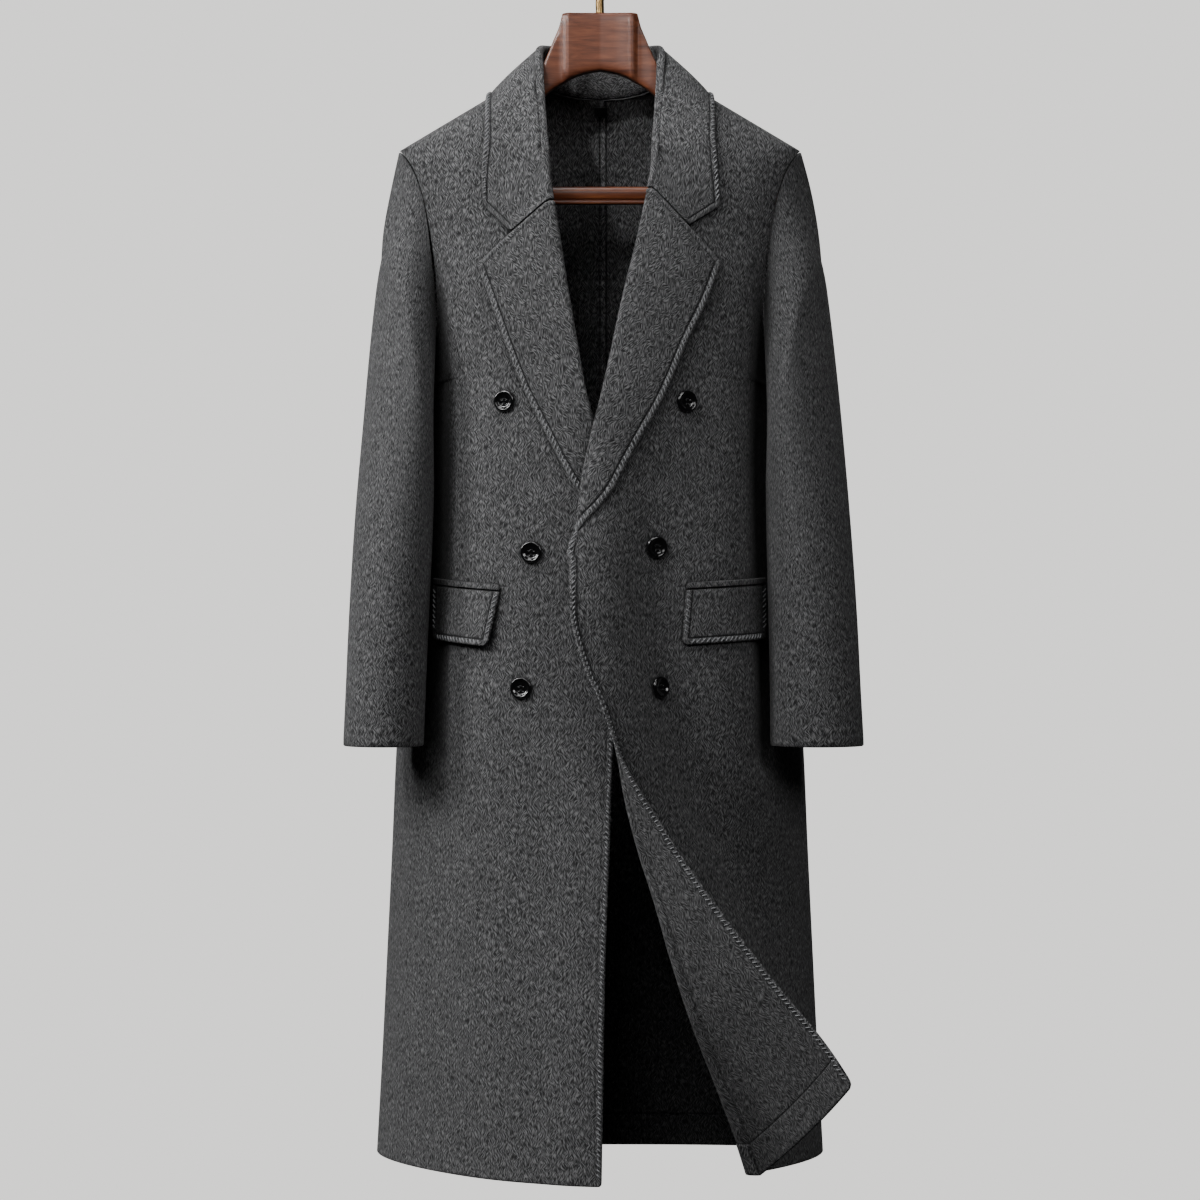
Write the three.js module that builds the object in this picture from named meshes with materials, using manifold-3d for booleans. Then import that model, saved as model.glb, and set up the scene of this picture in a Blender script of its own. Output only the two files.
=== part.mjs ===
// A long double-breasted wool overcoat, hung unbuttoned on a contoured wooden hanger.
// Units are millimetres. X is towards the left of a wearer, -Y is the front and +Z is up.
// Heights, called up, are measured from the hem; the group then moves the hook's rest to the origin.
import * as THREE from "three";
import { mergeVertices } from "three/addons/utils/BufferGeometryUtils.js";
import Module from "manifold-3d";

// Driving sizes
const clothThickness = 2.5;
const seamGap = 0.35;
const layGap = 0.6;
const hemTurnUp = 36;
const hemExtra = 1.1;
const underarmUp = 858;
const shoulderTipUp = 1114;
const shoulderTipX = 219;
const neckPointUp = 1197;
const backNeckUp = 1183;
const cuffUp = 463;
const overlapLift = 8.2;
const buttonDiameter = 24;
const hookRestUp = 1344;

// The body's level sections: half width, the depths of centre front, side seam and centre back, and how
// round the front and back run, where 2 is an ellipse and less is more pointed.
const bodySections = [
  { up: -20, half: 251, front: -155, side: 95, back: 151, frontRound: 1.55, backRound: 2.5 },
  { up: 0, half: 250, front: -154, side: 95, back: 150, frontRound: 1.55, backRound: 2.5 },
  { up: 117, half: 243.5, front: -150, side: 93, back: 146, frontRound: 1.56, backRound: 2.5 },
  { up: 229, half: 238, front: -145, side: 91, back: 142, frontRound: 1.57, backRound: 2.5 },
  { up: 341, half: 232.5, front: -140, side: 88, back: 139, frontRound: 1.58, backRound: 2.5 },
  { up: 463, half: 227, front: -136, side: 85, back: 136, frontRound: 1.6, backRound: 2.5 },
  { up: 600, half: 216, front: -131, side: 80, back: 133, frontRound: 1.6, backRound: 2.5 },
  { up: 740, half: 207, front: -126, side: 72, back: 131, frontRound: 1.62, backRound: 2.5 },
  { up: 858, half: 202, front: -118, side: 58, back: 128, frontRound: 1.68, backRound: 2.4 },
  { up: 950, half: 207, front: -107, side: 38, back: 124, frontRound: 1.82, backRound: 2.3 },
  { up: 1040, half: 214, front: -88, side: 15, back: 118, frontRound: 1.98, backRound: 2.2 },
  { up: 1114, half: 219, front: -64, side: 0, back: 108, frontRound: 2.15, backRound: 2.2 },
  { up: 1116, half: 215.7, front: -63, side: 0, back: 107.6, frontRound: 2.15, backRound: 2.2 },
  { up: 1156, half: 148.8, front: -43, side: 0, back: 98, frontRound: 2.2, backRound: 2.2 },
  { up: 1183, half: 103.7, front: -28, side: 0, back: 88, frontRound: 2.2, backRound: 2.2 },
  { up: 1199, half: 77, front: -19, side: 0, back: 80, frontRound: 2.2, backRound: 2.2 },
  { up: 1215, half: 50, front: -10, side: 0, back: 70, frontRound: 2.2, backRound: 2.2 },
];

// Where the armhole's edge runs, as distances from the centre of the coat
const armhole = [
  { up: 858, frontX: 202, backX: 202 },
  { up: 866, frontX: 195, backX: 199 },
  { up: 880, frontX: 187.5, backX: 195 },
  { up: 900, frontX: 181.5, backX: 191 },
  { up: 935, frontX: 178, backX: 188.5 },
  { up: 967, frontX: 178.7, backX: 190 },
  { up: 1011, frontX: 183.6, backX: 195 },
  { up: 1059, frontX: 192.5, backX: 204 },
  { up: 1087, frontX: 201.4, backX: 211.5 },
  { up: 1102, frontX: 209.5, backX: 216 },
  { up: 1114, frontX: 219, backX: 219 },
];

// The front neckline from the gorge to the shoulder, and the back neckline from the centre to the shoulder
const frontNeckline = [
  { up: 1040, x: 53 },
  { up: 1066, x: 58 },
  { up: 1085, x: 66 },
  { up: 1114, x: 73.5 },
  { up: 1150, x: 79 },
  { up: 1170, x: 80 },
  { up: 1185, x: 79.5 },
  { up: 1197, x: 77.8 },
];
const backNeckline = [
  { up: 1183, x: seamGap / 2 },
  { up: 1184.5, x: 25 },
  { up: 1188, x: 45 },
  { up: 1192.5, x: 60 },
  { up: 1197, x: 72 },
];

// The wearer's left front, from the hem to the gorge. Each row gives the ridge that the cloth turns over,
// the free edge of the turned cloth, how far the row is curled and the radius of the roll. Below the break
// the edge has fallen open, so its depth is a real place, and above it the edge lies on the chest as a lapel.
const leftTurn = {
  breakUp: 669,
  gorgeUp: 1065,
  rows: [
    { up: 0, ridgeX: 154, edgeX: 265.5, edgeY: -192, edgeUp: 113.5, curl: 1, radius: 8, lift: 0 },
    { up: 37, ridgeX: 142.5, edgeX: 246, edgeY: -188.5, edgeUp: 143.5, curl: 1, radius: 8, lift: 0 },
    { up: 70, ridgeX: 130.7, edgeX: 227.5, edgeY: -186, edgeUp: 168.4, curl: 1, radius: 8, lift: 0 },
    { up: 116, ridgeX: 113.7, edgeX: 199, edgeY: -182.3, edgeUp: 202, curl: 1, radius: 7.6, lift: 0 },
    { up: 173, ridgeX: 91.1, edgeX: 165, edgeY: -177.8, edgeUp: 244.8, curl: 1, radius: 7.2, lift: 0 },
    { up: 241, ridgeX: 68.7, edgeX: 126, edgeY: -173, edgeUp: 296, curl: 1, radius: 6.8, lift: 0 },
    { up: 311, ridgeX: 49.2, edgeX: 87, edgeY: -167.6, edgeUp: 350.6, curl: 1, radius: 6, lift: 0 },
    { up: 361, ridgeX: 33.9, edgeX: 61, edgeY: -165, edgeUp: 391.7, curl: 1, radius: 5.2, lift: 0 },
    { up: 403, ridgeX: 22.7, edgeX: 41, edgeY: -168.5, edgeUp: 426, curl: 0.95, radius: 4.4, lift: 0 },
    { up: 462, ridgeX: 10.5, edgeX: 18, edgeY: -174, edgeUp: 476, curl: 0.6, radius: 3.6, lift: 0 },
    { up: 532, ridgeX: -6.7, edgeX: -3, edgeY: -177, edgeUp: 539.6, curl: 0.15, radius: 3.2, lift: 0 },
    { up: 572, ridgeX: -15.6, edgeX: -13.3, edgeY: -176, edgeUp: 577, curl: 0, radius: 3, lift: 0 },
    { up: 614, ridgeX: -23.2, edgeX: -19.3, edgeY: -172.5, edgeUp: 617, curl: 0, radius: 3, lift: 0 },
    { up: 669, ridgeX: -26.5, edgeX: -24.5, edgeY: -164, edgeUp: 669, curl: 0, radius: 2, lift: 3.4 },
    { up: 705, ridgeX: -23, edgeX: -7.5, edgeY: 0, edgeUp: 696, curl: 0.6, radius: 1.8, lift: 3.6 },
    { up: 765, ridgeX: -14, edgeX: 14.6, edgeY: 0, edgeUp: 744, curl: 1, radius: 2.2, lift: 4.6 },
    { up: 820, ridgeX: -3, edgeX: 36.3, edgeY: 0, edgeUp: 787.7, curl: 1, radius: 2.7, lift: 6 },
    { up: 884, ridgeX: 10.8, edgeX: 62.6, edgeY: 0, edgeUp: 838, curl: 1, radius: 3.2, lift: 7.4 },
    { up: 962, ridgeX: 28, edgeX: 91, edgeY: 0, edgeUp: 901, curl: 1, radius: 3.5, lift: 8 },
    { up: 1006, ridgeX: 39, edgeX: 108.5, edgeY: 0, edgeUp: 936.6, curl: 1, radius: 3.6, lift: 8 },
    { up: 1065, ridgeX: 51.5, edgeX: 127.8, edgeY: 0, edgeUp: 985.5, curl: 1, radius: 3.6, lift: 7 },
  ],
};

// The wearer's right front, measured outwards from the centre on its own side. Its edge hangs straight
// below the break, and both pass under the left front.
const rightTurn = {
  breakUp: 675,
  gorgeUp: 1051.5,
  rows: [
    { up: 0, ridgeX: -2, edgeX: -2, edgeY: 0, edgeUp: 0, curl: 0, radius: 2, lift: 3.2 },
    { up: 197, ridgeX: -5.3, edgeX: -5.3, edgeY: 0, edgeUp: 197, curl: 0, radius: 2, lift: 3.2 },
    { up: 430, ridgeX: -14.9, edgeX: -14.9, edgeY: 0, edgeUp: 430, curl: 0, radius: 2, lift: 3.2 },
    { up: 675, ridgeX: -27.7, edgeX: -27.2, edgeY: 0, edgeUp: 675, curl: 0, radius: 1.7, lift: 3.2 },
    { up: 712, ridgeX: -18.5, edgeX: -4, edgeY: 0, edgeUp: 702, curl: 0.6, radius: 1.7, lift: 3.3 },
    { up: 757, ridgeX: -7.4, edgeX: 21.3, edgeY: 0, edgeUp: 733, curl: 1, radius: 1.7, lift: 3.4 },
    { up: 800, ridgeX: 3.2, edgeX: 42, edgeY: 0, edgeUp: 768, curl: 1, radius: 1.8, lift: 3.6 },
    { up: 845, ridgeX: 15.3, edgeX: 59.7, edgeY: 0, edgeUp: 805, curl: 1, radius: 2.3, lift: 4.2 },
    { up: 892, ridgeX: 23.6, edgeX: 79, edgeY: 0, edgeUp: 844.5, curl: 1, radius: 2.9, lift: 5 },
    { up: 952, ridgeX: 33.9, edgeX: 98.8, edgeY: 0, edgeUp: 897, curl: 1, radius: 3.4, lift: 6 },
    { up: 1010, ridgeX: 43, edgeX: 116.6, edgeY: 0, edgeUp: 947.6, curl: 1, radius: 3.6, lift: 6.5 },
    { up: 1051.5, ridgeX: 50, edgeX: 130, edgeY: 0, edgeUp: 984, curl: 1, radius: 3.6, lift: 6.5 },
  ],
};

// The collar's roll from centre back to the shoulder and on to the gorge
const rollToShoulder = [
  { x: 0, y: 94, up: 1241 },
  { x: 27, y: 88, up: 1241 },
  { x: 49, y: 68, up: 1239.5 },
  { x: 62.5, y: 38, up: 1236 },
  { x: 67.5, y: 6, up: 1230 },
];
const rollToGorge = [
  { x: 67.5, y: 6, up: 1230 },
  { x: 66.5, y: -15, up: 1210 },
  { x: 65, y: -31, up: 1180 },
  { x: 62.5, y: -50.5, up: 1145 },
  { x: 58.5, y: -71, up: 1105 },
];

// The collar's free edge, as places on the coat under it
const collarEdgeBack = [
  { x: 0, up: 1164 },
  { x: 40, up: 1163 },
  { x: 78, up: 1163.5 },
  { x: 104, up: 1167 },
  { x: 121, up: 1172.6 },
];
const collarEdgeFront = [
  { x: 121, up: 1172.6 },
  { x: 124.5, up: 1150 },
  { x: 125, up: 1121 },
  { x: 127.5, up: 1086 },
];
const collarNotch = { left: { x: 89.1, up: 1021 }, right: { x: 92.4, up: 1015.5 } };
const collarPoint = { left: { x: 129.3, up: 1047 }, right: { x: 125.2, up: 1048 } };

// Each sleeve's level sections: where its outer and inner sides show from the front, its middle depth and
// half depth, and how far it is turned so that its front lies across the body, in degrees
const sleeveSections = {
  left: [
    { up: 463, outer: 286, inner: 186.4, middle: -44, depth: 55, turn: 6 },
    { up: 520, outer: 283, inner: 186, middle: -42, depth: 57, turn: 8 },
    { up: 600, outer: 279.5, inner: 184.5, middle: -38, depth: 60, turn: 12 },
    { up: 709, outer: 273, inner: 182, middle: -30, depth: 65, turn: 17 },
    { up: 818, outer: 265.3, inner: 180.5, middle: -18, depth: 71, turn: 21 },
    { up: 916, outer: 256.6, inner: 178.8, middle: -4, depth: 74, turn: 20 },
    { up: 970, outer: 250, inner: 180, middle: 4, depth: 72, turn: 16 },
    { up: 1022, outer: 242, inner: 182, middle: 8, depth: 64, turn: 10 },
    { up: 1074, outer: 231, inner: 190, middle: 6, depth: 46, turn: 4 },
    { up: 1115, outer: 219.5, inner: 200, middle: 0, depth: 20, turn: 0 },
  ],
  right: [
    { up: 463, outer: 278.4, inner: 192.9, middle: -44, depth: 55, turn: 6 },
    { up: 520, outer: 276, inner: 190.7, middle: -42, depth: 57, turn: 8 },
    { up: 600, outer: 273, inner: 187.4, middle: -38, depth: 60, turn: 12 },
    { up: 709, outer: 267.5, inner: 182.5, middle: -30, depth: 65, turn: 17 },
    { up: 818, outer: 260, inner: 180, middle: -18, depth: 71, turn: 21 },
    { up: 916, outer: 252.5, inner: 177.7, middle: -4, depth: 74, turn: 20 },
    { up: 970, outer: 246.6, inner: 179, middle: 4, depth: 72, turn: 16 },
    { up: 1022, outer: 240, inner: 182, middle: 8, depth: 64, turn: 10 },
    { up: 1074, outer: 229, inner: 190, middle: 6, depth: 46, turn: 4 },
    { up: 1115, outer: 219.5, inner: 200, middle: 0, depth: 20, turn: 0 },
  ],
};

// Soft folds of the fronts. Each is a path out from the centre, with a half width and a height that is
// below zero for a hollow.
const folds = {
  left: {
    hollowBesideTheEdge: [
      { up: 60, out: 232, halfWidth: 26, height: 0 },
      { up: 219, out: 196, halfWidth: 32, height: -7 },
      { up: 344, out: 146, halfWidth: 36, height: -12 },
      { up: 468, out: 92, halfWidth: 38, height: -13 },
      { up: 570, out: 70, halfWidth: 36, height: -13 },
      { up: 655, out: 60, halfWidth: 34, height: -11 },
      { up: 735, out: 56, halfWidth: 30, height: -5 },
      { up: 800, out: 58, halfWidth: 28, height: 0 },
    ],
    swellBesideTheHollow: [
      { up: 300, out: 196, halfWidth: 28, height: 0 },
      { up: 468, out: 150, halfWidth: 40, height: 8 },
      { up: 570, out: 136, halfWidth: 42, height: 11 },
      { up: 655, out: 130, halfWidth: 42, height: 11 },
      { up: 760, out: 136, halfWidth: 40, height: 8 },
      { up: 880, out: 142, halfWidth: 36, height: 4 },
      { up: 970, out: 146, halfWidth: 32, height: 0 },
    ],
    riseAtTheEdge: [
      { up: 340, out: 36, halfWidth: 44, height: 0 },
      { up: 403, out: 22, halfWidth: 46, height: 8 },
      { up: 462, out: 10, halfWidth: 46, height: 18 },
      { up: 532, out: -7, halfWidth: 46, height: 27 },
      { up: 600, out: -21, halfWidth: 46, height: 30 },
      { up: 669, out: -26, halfWidth: 44, height: 24 },
      { up: 720, out: -20, halfWidth: 40, height: 10 },
      { up: 780, out: -10, halfWidth: 34, height: 0 },
    ],
  },
  right: {
    tuckUnderTheOverlap: [
      { up: 120, out: 0, halfWidth: 34, height: -2 },
      { up: 300, out: 4, halfWidth: 40, height: -6 },
      { up: 480, out: 4, halfWidth: 48, height: -11 },
      { up: 669, out: 8, halfWidth: 50, height: -11 },
      { up: 760, out: 20, halfWidth: 40, height: -5 },
      { up: 830, out: 30, halfWidth: 32, height: 0 },
    ],
    swellBesideTheTuck: [
      { up: 0, out: 128, halfWidth: 34, height: 1.5 },
      { up: 300, out: 122, halfWidth: 40, height: 4 },
      { up: 560, out: 120, halfWidth: 42, height: 6 },
      { up: 760, out: 130, halfWidth: 38, height: 4 },
      { up: 860, out: 140, halfWidth: 32, height: 0 },
    ],
    fluteToTheHem: [
      { up: 0, out: 64, halfWidth: 22, height: -2.4 },
      { up: 200, out: 62, halfWidth: 22, height: -2 },
      { up: 420, out: 60, halfWidth: 20, height: 0 },
    ],
  },
};

// How far the outer half of each front is set forwards, so that the chest is flat up to the sleeves
const chestForwards = [
  { up: 60, height: 0 },
  { up: 300, height: 6 },
  { up: 463, height: 14 },
  { up: 600, height: 18 },
  { up: 760, height: 18 },
  { up: 858, height: 15 },
  { up: 950, height: 8 },
  { up: 1010, height: 0 },
];

// Buttons and pockets, as places on the fronts measured outwards from the centre
const buttonPlaces = {
  left: [
    { x: 89.8, up: 834, seat: 0.3 },
    { x: 59.6, up: 678, seat: 1.75 },
    { x: 61.7, up: 528, seat: 2.1 },
  ],
  right: [
    { x: 101.6, up: 835, seat: 0.35 },
    { x: 73.5, up: 672.5, seat: 0.35 },
    { x: 82.9, up: 527, seat: 0.3 },
  ],
};
const pocketPlaces = {
  left: { innerX: 89.1, innerUp: 632.5, outerX: 174, outerUp: 638.4, lean: 2.6, stand: 1.2, gap: 0.8 },
  right: { innerX: 102.5, innerUp: 630.4, outerX: 178, outerUp: 637.8, lean: -9, stand: 6, gap: 0.6 },
};
const pocketFlapDrop = 60;
const pocketWeltHeight = 7.5;

// The hanger: its top and lower edges and half thickness at stations out from the centre
const hangerStations = [
  { x: 0, top: 1266.5, bottom: 1203, half: 12 },
  { x: 17, top: 1266.5, bottom: 1200, half: 12 },
  { x: 32, top: 1266.5, bottom: 1194.5, half: 11.5 },
  { x: 41.3, top: 1266.4, bottom: 1189, half: 10.5 },
  { x: 42.2, top: 1262, bottom: 1188.6, half: 10.4 },
  { x: 45.2, top: 1250.7, bottom: 1187, half: 10.2 },
  { x: 50.2, top: 1238.8, bottom: 1183.8, half: 10 },
  { x: 57.8, top: 1220.5, bottom: 1178, half: 10 },
  { x: 63.6, top: 1208.5, bottom: 1173, half: 10 },
  { x: 70, top: 1197.5, bottom: 1167.5, half: 10.5 },
];
const hangerArmStations = [86, 98, 105, 125, 145, 165, 182, 196, 203];
const hangerArmHeight = { neck: 40, end: 76 };
const hangerArmHalf = { neck: 10.5, end: 19 };
const armSlope = { fallsFromUp: 1199, run: 142, rise: 85 };
const barUp = 1066;
const barReach = 192;
const socketFootUp = 1253.4;
const socketDepth = 40;

// Smooth value of a table's column, by cubic steps that never overshoot the rows
function smooth(table, key, column, at) {
  const last = table.length - 1;
  if (at <= table[0][key]) return table[0][column];
  if (at >= table[last][key]) return table[last][column];
  let i = 0;
  while (at > table[i + 1][key]) i++;
  const secant = (k) => {
    const rise = table[k + 1][column] - table[k][column];
    return rise / (table[k + 1][key] - table[k][key]);
  };
  const slope = (k) => {
    if (k === 0) return secant(0);
    if (k === last) return secant(last - 1);
    const before = secant(k - 1);
    const after = secant(k);
    return before * after <= 0 ? 0 : (2 * before * after) / (before + after);
  };
  const step = table[i + 1][key] - table[i][key];
  const t = (at - table[i][key]) / step;
  const s = 1 - t;
  const value0 = table[i][column] * (1 + 2 * t) * s * s;
  const value1 = table[i + 1][column] * (3 - 2 * t) * t * t;
  return value0 + value1 + slope(i) * step * t * s * s - slope(i + 1) * step * t * t * s;
}

const mix = THREE.MathUtils.lerp;
const ease = THREE.MathUtils.smoothstep;
const vector = (x, y, z) => new THREE.Vector3(x, y, z);

// The body's middle surface. Turn runs 0 at centre front, 1 at the side seam and 2 at centre back on the
// wearer's left, and is negative on the wearer's right.
function bodyPoint(up, turn) {
  const way = Math.sign(turn) || 1;
  const back = Math.abs(turn) > 1;
  const angle = ((back ? 2 - Math.abs(turn) : Math.abs(turn)) * Math.PI) / 2;
  const power = 2 / smooth(bodySections, "up", back ? "backRound" : "frontRound", up);
  const side = smooth(bodySections, "up", "side", up);
  const far = smooth(bodySections, "up", back ? "back" : "front", up);
  const half = smooth(bodySections, "up", "half", up);
  const across = Math.max(0, Math.sin(angle)) ** power;
  const along = Math.max(0, Math.cos(angle)) ** power;
  return vector(way * half * across, side + (far - side) * along, up);
}

// The turn at which the body's section passes a distance x from the centre
function turnAt(up, x, back = false) {
  const round = smooth(bodySections, "up", back ? "backRound" : "frontRound", up);
  const half = smooth(bodySections, "up", "half", up);
  const share = Math.min(1, Math.abs(x) / half);
  const angle = (Math.asin(share ** (round / 2)) * 2) / Math.PI;
  return (Math.sign(x) || 1) * (back ? 2 - angle : angle);
}

function bodyNormal(up, turn) {
  const small = 0.012;
  const along = bodyPoint(up, turn + small).sub(bodyPoint(up, turn - small));
  const upward = bodyPoint(up + 2, turn).sub(bodyPoint(up - 2, turn));
  return along.cross(upward).normalize();
}

// How far the folds move a front outwards. They fade out towards the side seam, and sooner where a sleeve
// hangs against the body.
function drape(side, up, out, fading) {
  const share = out / smooth(bodySections, "up", "half", up);
  const beside = ease(up, 400, 450);
  const free = fading ? 1 - ease(share, mix(0.86, 0.7, beside), mix(0.98, 0.86, beside)) : 1;
  return Object.values(folds[side]).reduce((sum, fold) => {
    const away = (out - smooth(fold, "up", "out", up)) / smooth(fold, "up", "halfWidth", up);
    return sum + free * smooth(fold, "up", "height", up) * Math.exp(-away * away);
  }, 0);
}

function setForwards(up, out, fading) {
  const half = smooth(bodySections, "up", "half", up);
  const beside = ease(up, 400, 450);
  const faded = ease(out, mix(0.86 * half, 160, beside), mix(0.98 * half, 176, beside));
  const free = fading ? 1 - faded : 1;
  return free * ease(out, 40, 160) * smooth(chestForwards, "up", "height", up);
}

// A place on the front of the coat and the body's outward direction there. Out is measured from the centre
// on that side, and the left front is lifted where it laps over the right one. Without fading, the place is
// that of a stiff piece that doesn't follow the front where it drops away beside the sleeve.
function frontSurface(side, up, out, fading = true) {
  const way = side === "left" ? 1 : -1;
  const turn = turnAt(up, way * out);
  const normal = bodyNormal(up, turn);
  const lapped = (1 - ease(out, 50, 125)) * (1 - ease(up, 825, 930));
  const lift = side === "left" ? overlapLift * lapped : 0;
  const point = bodyPoint(up, turn).addScaledVector(normal, lift + drape(side, up, out, fading));
  point.y -= setForwards(up, out, fading);
  return { point, normal };
}

// The outward direction of the folded cloth itself, over a step about as wide as a button
function clothFacing(side, up, out) {
  const step = 7;
  const across = frontSurface(side, up, out + step).point.sub(frontSurface(side, up, out - step).point);
  const upward = frontSurface(side, up + step, out).point.sub(frontSurface(side, up - step, out).point);
  const facing = across.cross(upward).normalize();
  return facing.y > 0 ? facing.negate() : facing;
}

// A closed wall of cloth around a grid of middle points. Cells can be left out and the grid can wrap round.
// Directions given for some points say which side is out and keep two pieces' edges parallel along a seam.
function clothWall(points, options = {}) {
  const { wrap = false, present = () => true, direction = () => null, inner = () => 0 } = options;
  const half = (options.thickness ?? clothThickness) / 2;
  const rows = points.length;
  const columns = points[0].length;
  const cellColumns = wrap ? columns : columns - 1;
  const has = (i, j) => {
    const column = wrap ? (j + columns) % columns : j;
    return i >= 0 && i < rows - 1 && column >= 0 && column < cellColumns && present(i, column);
  };
  const id = (i, j) => i * columns + (j % columns);
  const at = (i, j) => points[i][j % columns];
  const normals = points.map((row) => row.map(() => vector(0, 0, 0)));
  for (let i = 0; i < rows - 1; i++) {
    for (let j = 0; j < cellColumns; j++) {
      if (!has(i, j)) continue;
      const first = at(i + 1, j + 1).clone().sub(at(i, j));
      const second = at(i + 1, j).clone().sub(at(i, j + 1));
      const facing = first.cross(second);
      const corners = [[i, j], [i, j + 1], [i + 1, j], [i + 1, j + 1]];
      for (const [a, b] of corners) normals[a][b % columns].add(facing);
    }
  }
  let agreement = 0;
  for (let i = 0; i < rows; i++) {
    for (let j = 0; j < columns; j++) {
      const given = direction(i, j);
      if (given) agreement += normals[i][j].dot(given);
    }
  }
  const out = agreement < 0 ? -1 : 1;
  const positions = [];
  for (let i = 0; i < rows; i++) {
    for (let j = 0; j < columns; j++) {
      const normal = (direction(i, j) ?? normals[i][j].multiplyScalar(out)).clone().normalize();
      const outer = points[i][j].clone().addScaledVector(normal, half);
      const inside = points[i][j].clone().addScaledVector(normal, -half - inner(i, j));
      positions.push(...outer.toArray(), ...inside.toArray());
    }
  }
  const triangles = [];
  const quad = (a, b, c, d) => triangles.push(a, b, c, a, c, d);
  for (let i = 0; i < rows - 1; i++) {
    for (let j = 0; j < cellColumns; j++) {
      if (!has(i, j)) continue;
      const [a, b, c, d] = [id(i, j), id(i, j + 1), id(i + 1, j + 1), id(i + 1, j)].map((k) => 2 * k);
      quad(a, b, c, d);
      quad(a + 1, d + 1, c + 1, b + 1);
      if (!has(i - 1, j)) quad(a, a + 1, b + 1, b);
      if (!has(i, j + 1)) quad(b, b + 1, c + 1, c);
      if (!has(i + 1, j)) quad(c, c + 1, d + 1, d);
      if (!has(i, j - 1)) quad(d, d + 1, a + 1, a);
    }
  }
  return closedGeometry(positions, triangles);
}

// A geometry that holds only the corners in use, with its faces turned outwards
function closedGeometry(positions, triangles) {
  const used = new Map();
  const kept = [];
  const index = triangles.map((corner) => {
    if (!used.has(corner)) {
      used.set(corner, used.size);
      kept.push(...positions.slice(3 * corner, 3 * corner + 3));
    }
    return used.get(corner);
  });
  const corner = (k) => vector(kept[3 * index[k]], kept[3 * index[k] + 1], kept[3 * index[k] + 2]);
  let volume = 0;
  for (let k = 0; k < index.length; k += 3) volume += corner(k).dot(corner(k + 1).cross(corner(k + 2)));
  if (volume < 0) index.reverse();
  const geometry = new THREE.BufferGeometry();
  geometry.setAttribute("position", new THREE.Float32BufferAttribute(kept, 3));
  geometry.setIndex(index);
  geometry.computeVertexNormals();
  return geometry;
}

// A solid skinned over closed rings of equal length, with flat ends
function skin(rings) {
  const count = rings[0].length;
  const positions = rings.flat().flatMap((p) => p.toArray());
  const triangles = [];
  for (let i = 0; i < rings.length - 1; i++) {
    for (let j = 0; j < count; j++) {
      const next = (j + 1) % count;
      const [a, b, c, d] = [i * count + j, i * count + next, (i + 1) * count + next, (i + 1) * count + j];
      triangles.push(a, b, c, a, c, d);
    }
  }
  const lastRing = (rings.length - 1) * count;
  for (let j = 1; j < count - 1; j++) {
    triangles.push(0, j + 1, j, lastRing, lastRing + j, lastRing + j + 1);
  }
  return closedGeometry(positions, triangles);
}

// Materials
const wool = new THREE.MeshStandardMaterial({ color: 0x4a4b4c, roughness: 0.95, metalness: 0 });
const horn = new THREE.MeshStandardMaterial({ color: 0x141414, roughness: 0.15, metalness: 0 });
const ribbon = new THREE.MeshStandardMaterial({ color: 0x0c0c0c, roughness: 0.8, metalness: 0 });
const mahogany = new THREE.MeshStandardMaterial({ color: 0x6b3a28, roughness: 0.3, metalness: 0 });
const brass = new THREE.MeshStandardMaterial({ color: 0x9c7f55, roughness: 0.35, metalness: 1 });

const coat = new THREE.Group();
const hanger = new THREE.Group();
function add(group, name, geometry, material) {
  const mesh = new THREE.Mesh(geometry, material);
  mesh.name = name;
  group.add(mesh);
  return mesh;
}

// The fronts
const panelColumns = 14;
const rollSteps = 5;
const turnedSteps = 6;
const edgeStrip = 12;
const frontRowsBelow = {
  left: [0, 36, 38, 75, 115, 155, 200, 245, 290, 335, 375, 410, 445, 480, 515, 550, 590, 630, 669],
  right: [0, 36, 38, 100, 200, 300, 400, 500, 590, 675],
};
const frontRowsChest = [700, 730, 765, 800, 830, 858, 866, 880, 900, 935, 967, 1011];
const rowsAboveGorge = [1087, 1102, 1114, 1132, 1150, 1170, 1185, 1197];

function frontRows(side, turn) {
  const toGorge = [...frontRowsChest, 1035].filter((up) => up < turn.gorgeUp - 8);
  const middle = (turn.gorgeUp + rowsAboveGorge[0]) / 2;
  return [...frontRowsBelow[side], ...toGorge, turn.gorgeUp, middle, ...rowsAboveGorge];
}

// The outer end of a front or back row, as a turn: on the side seam, the armhole or the shoulder seam
function outerTurn(up, column) {
  if (up <= underarmUp || up >= shoulderTipUp) return 1;
  return Math.abs(turnAt(up, smooth(armhole, "up", column, up), column === "backX"));
}

// How strongly the left front's edge leans out towards the viewer just below the break, in radians
function edgeLean(side, up, breakUp) {
  if (side === "right" || up > breakUp) return 0;
  return 1.9 * ease(breakUp - up, 0, 90);
}

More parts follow.
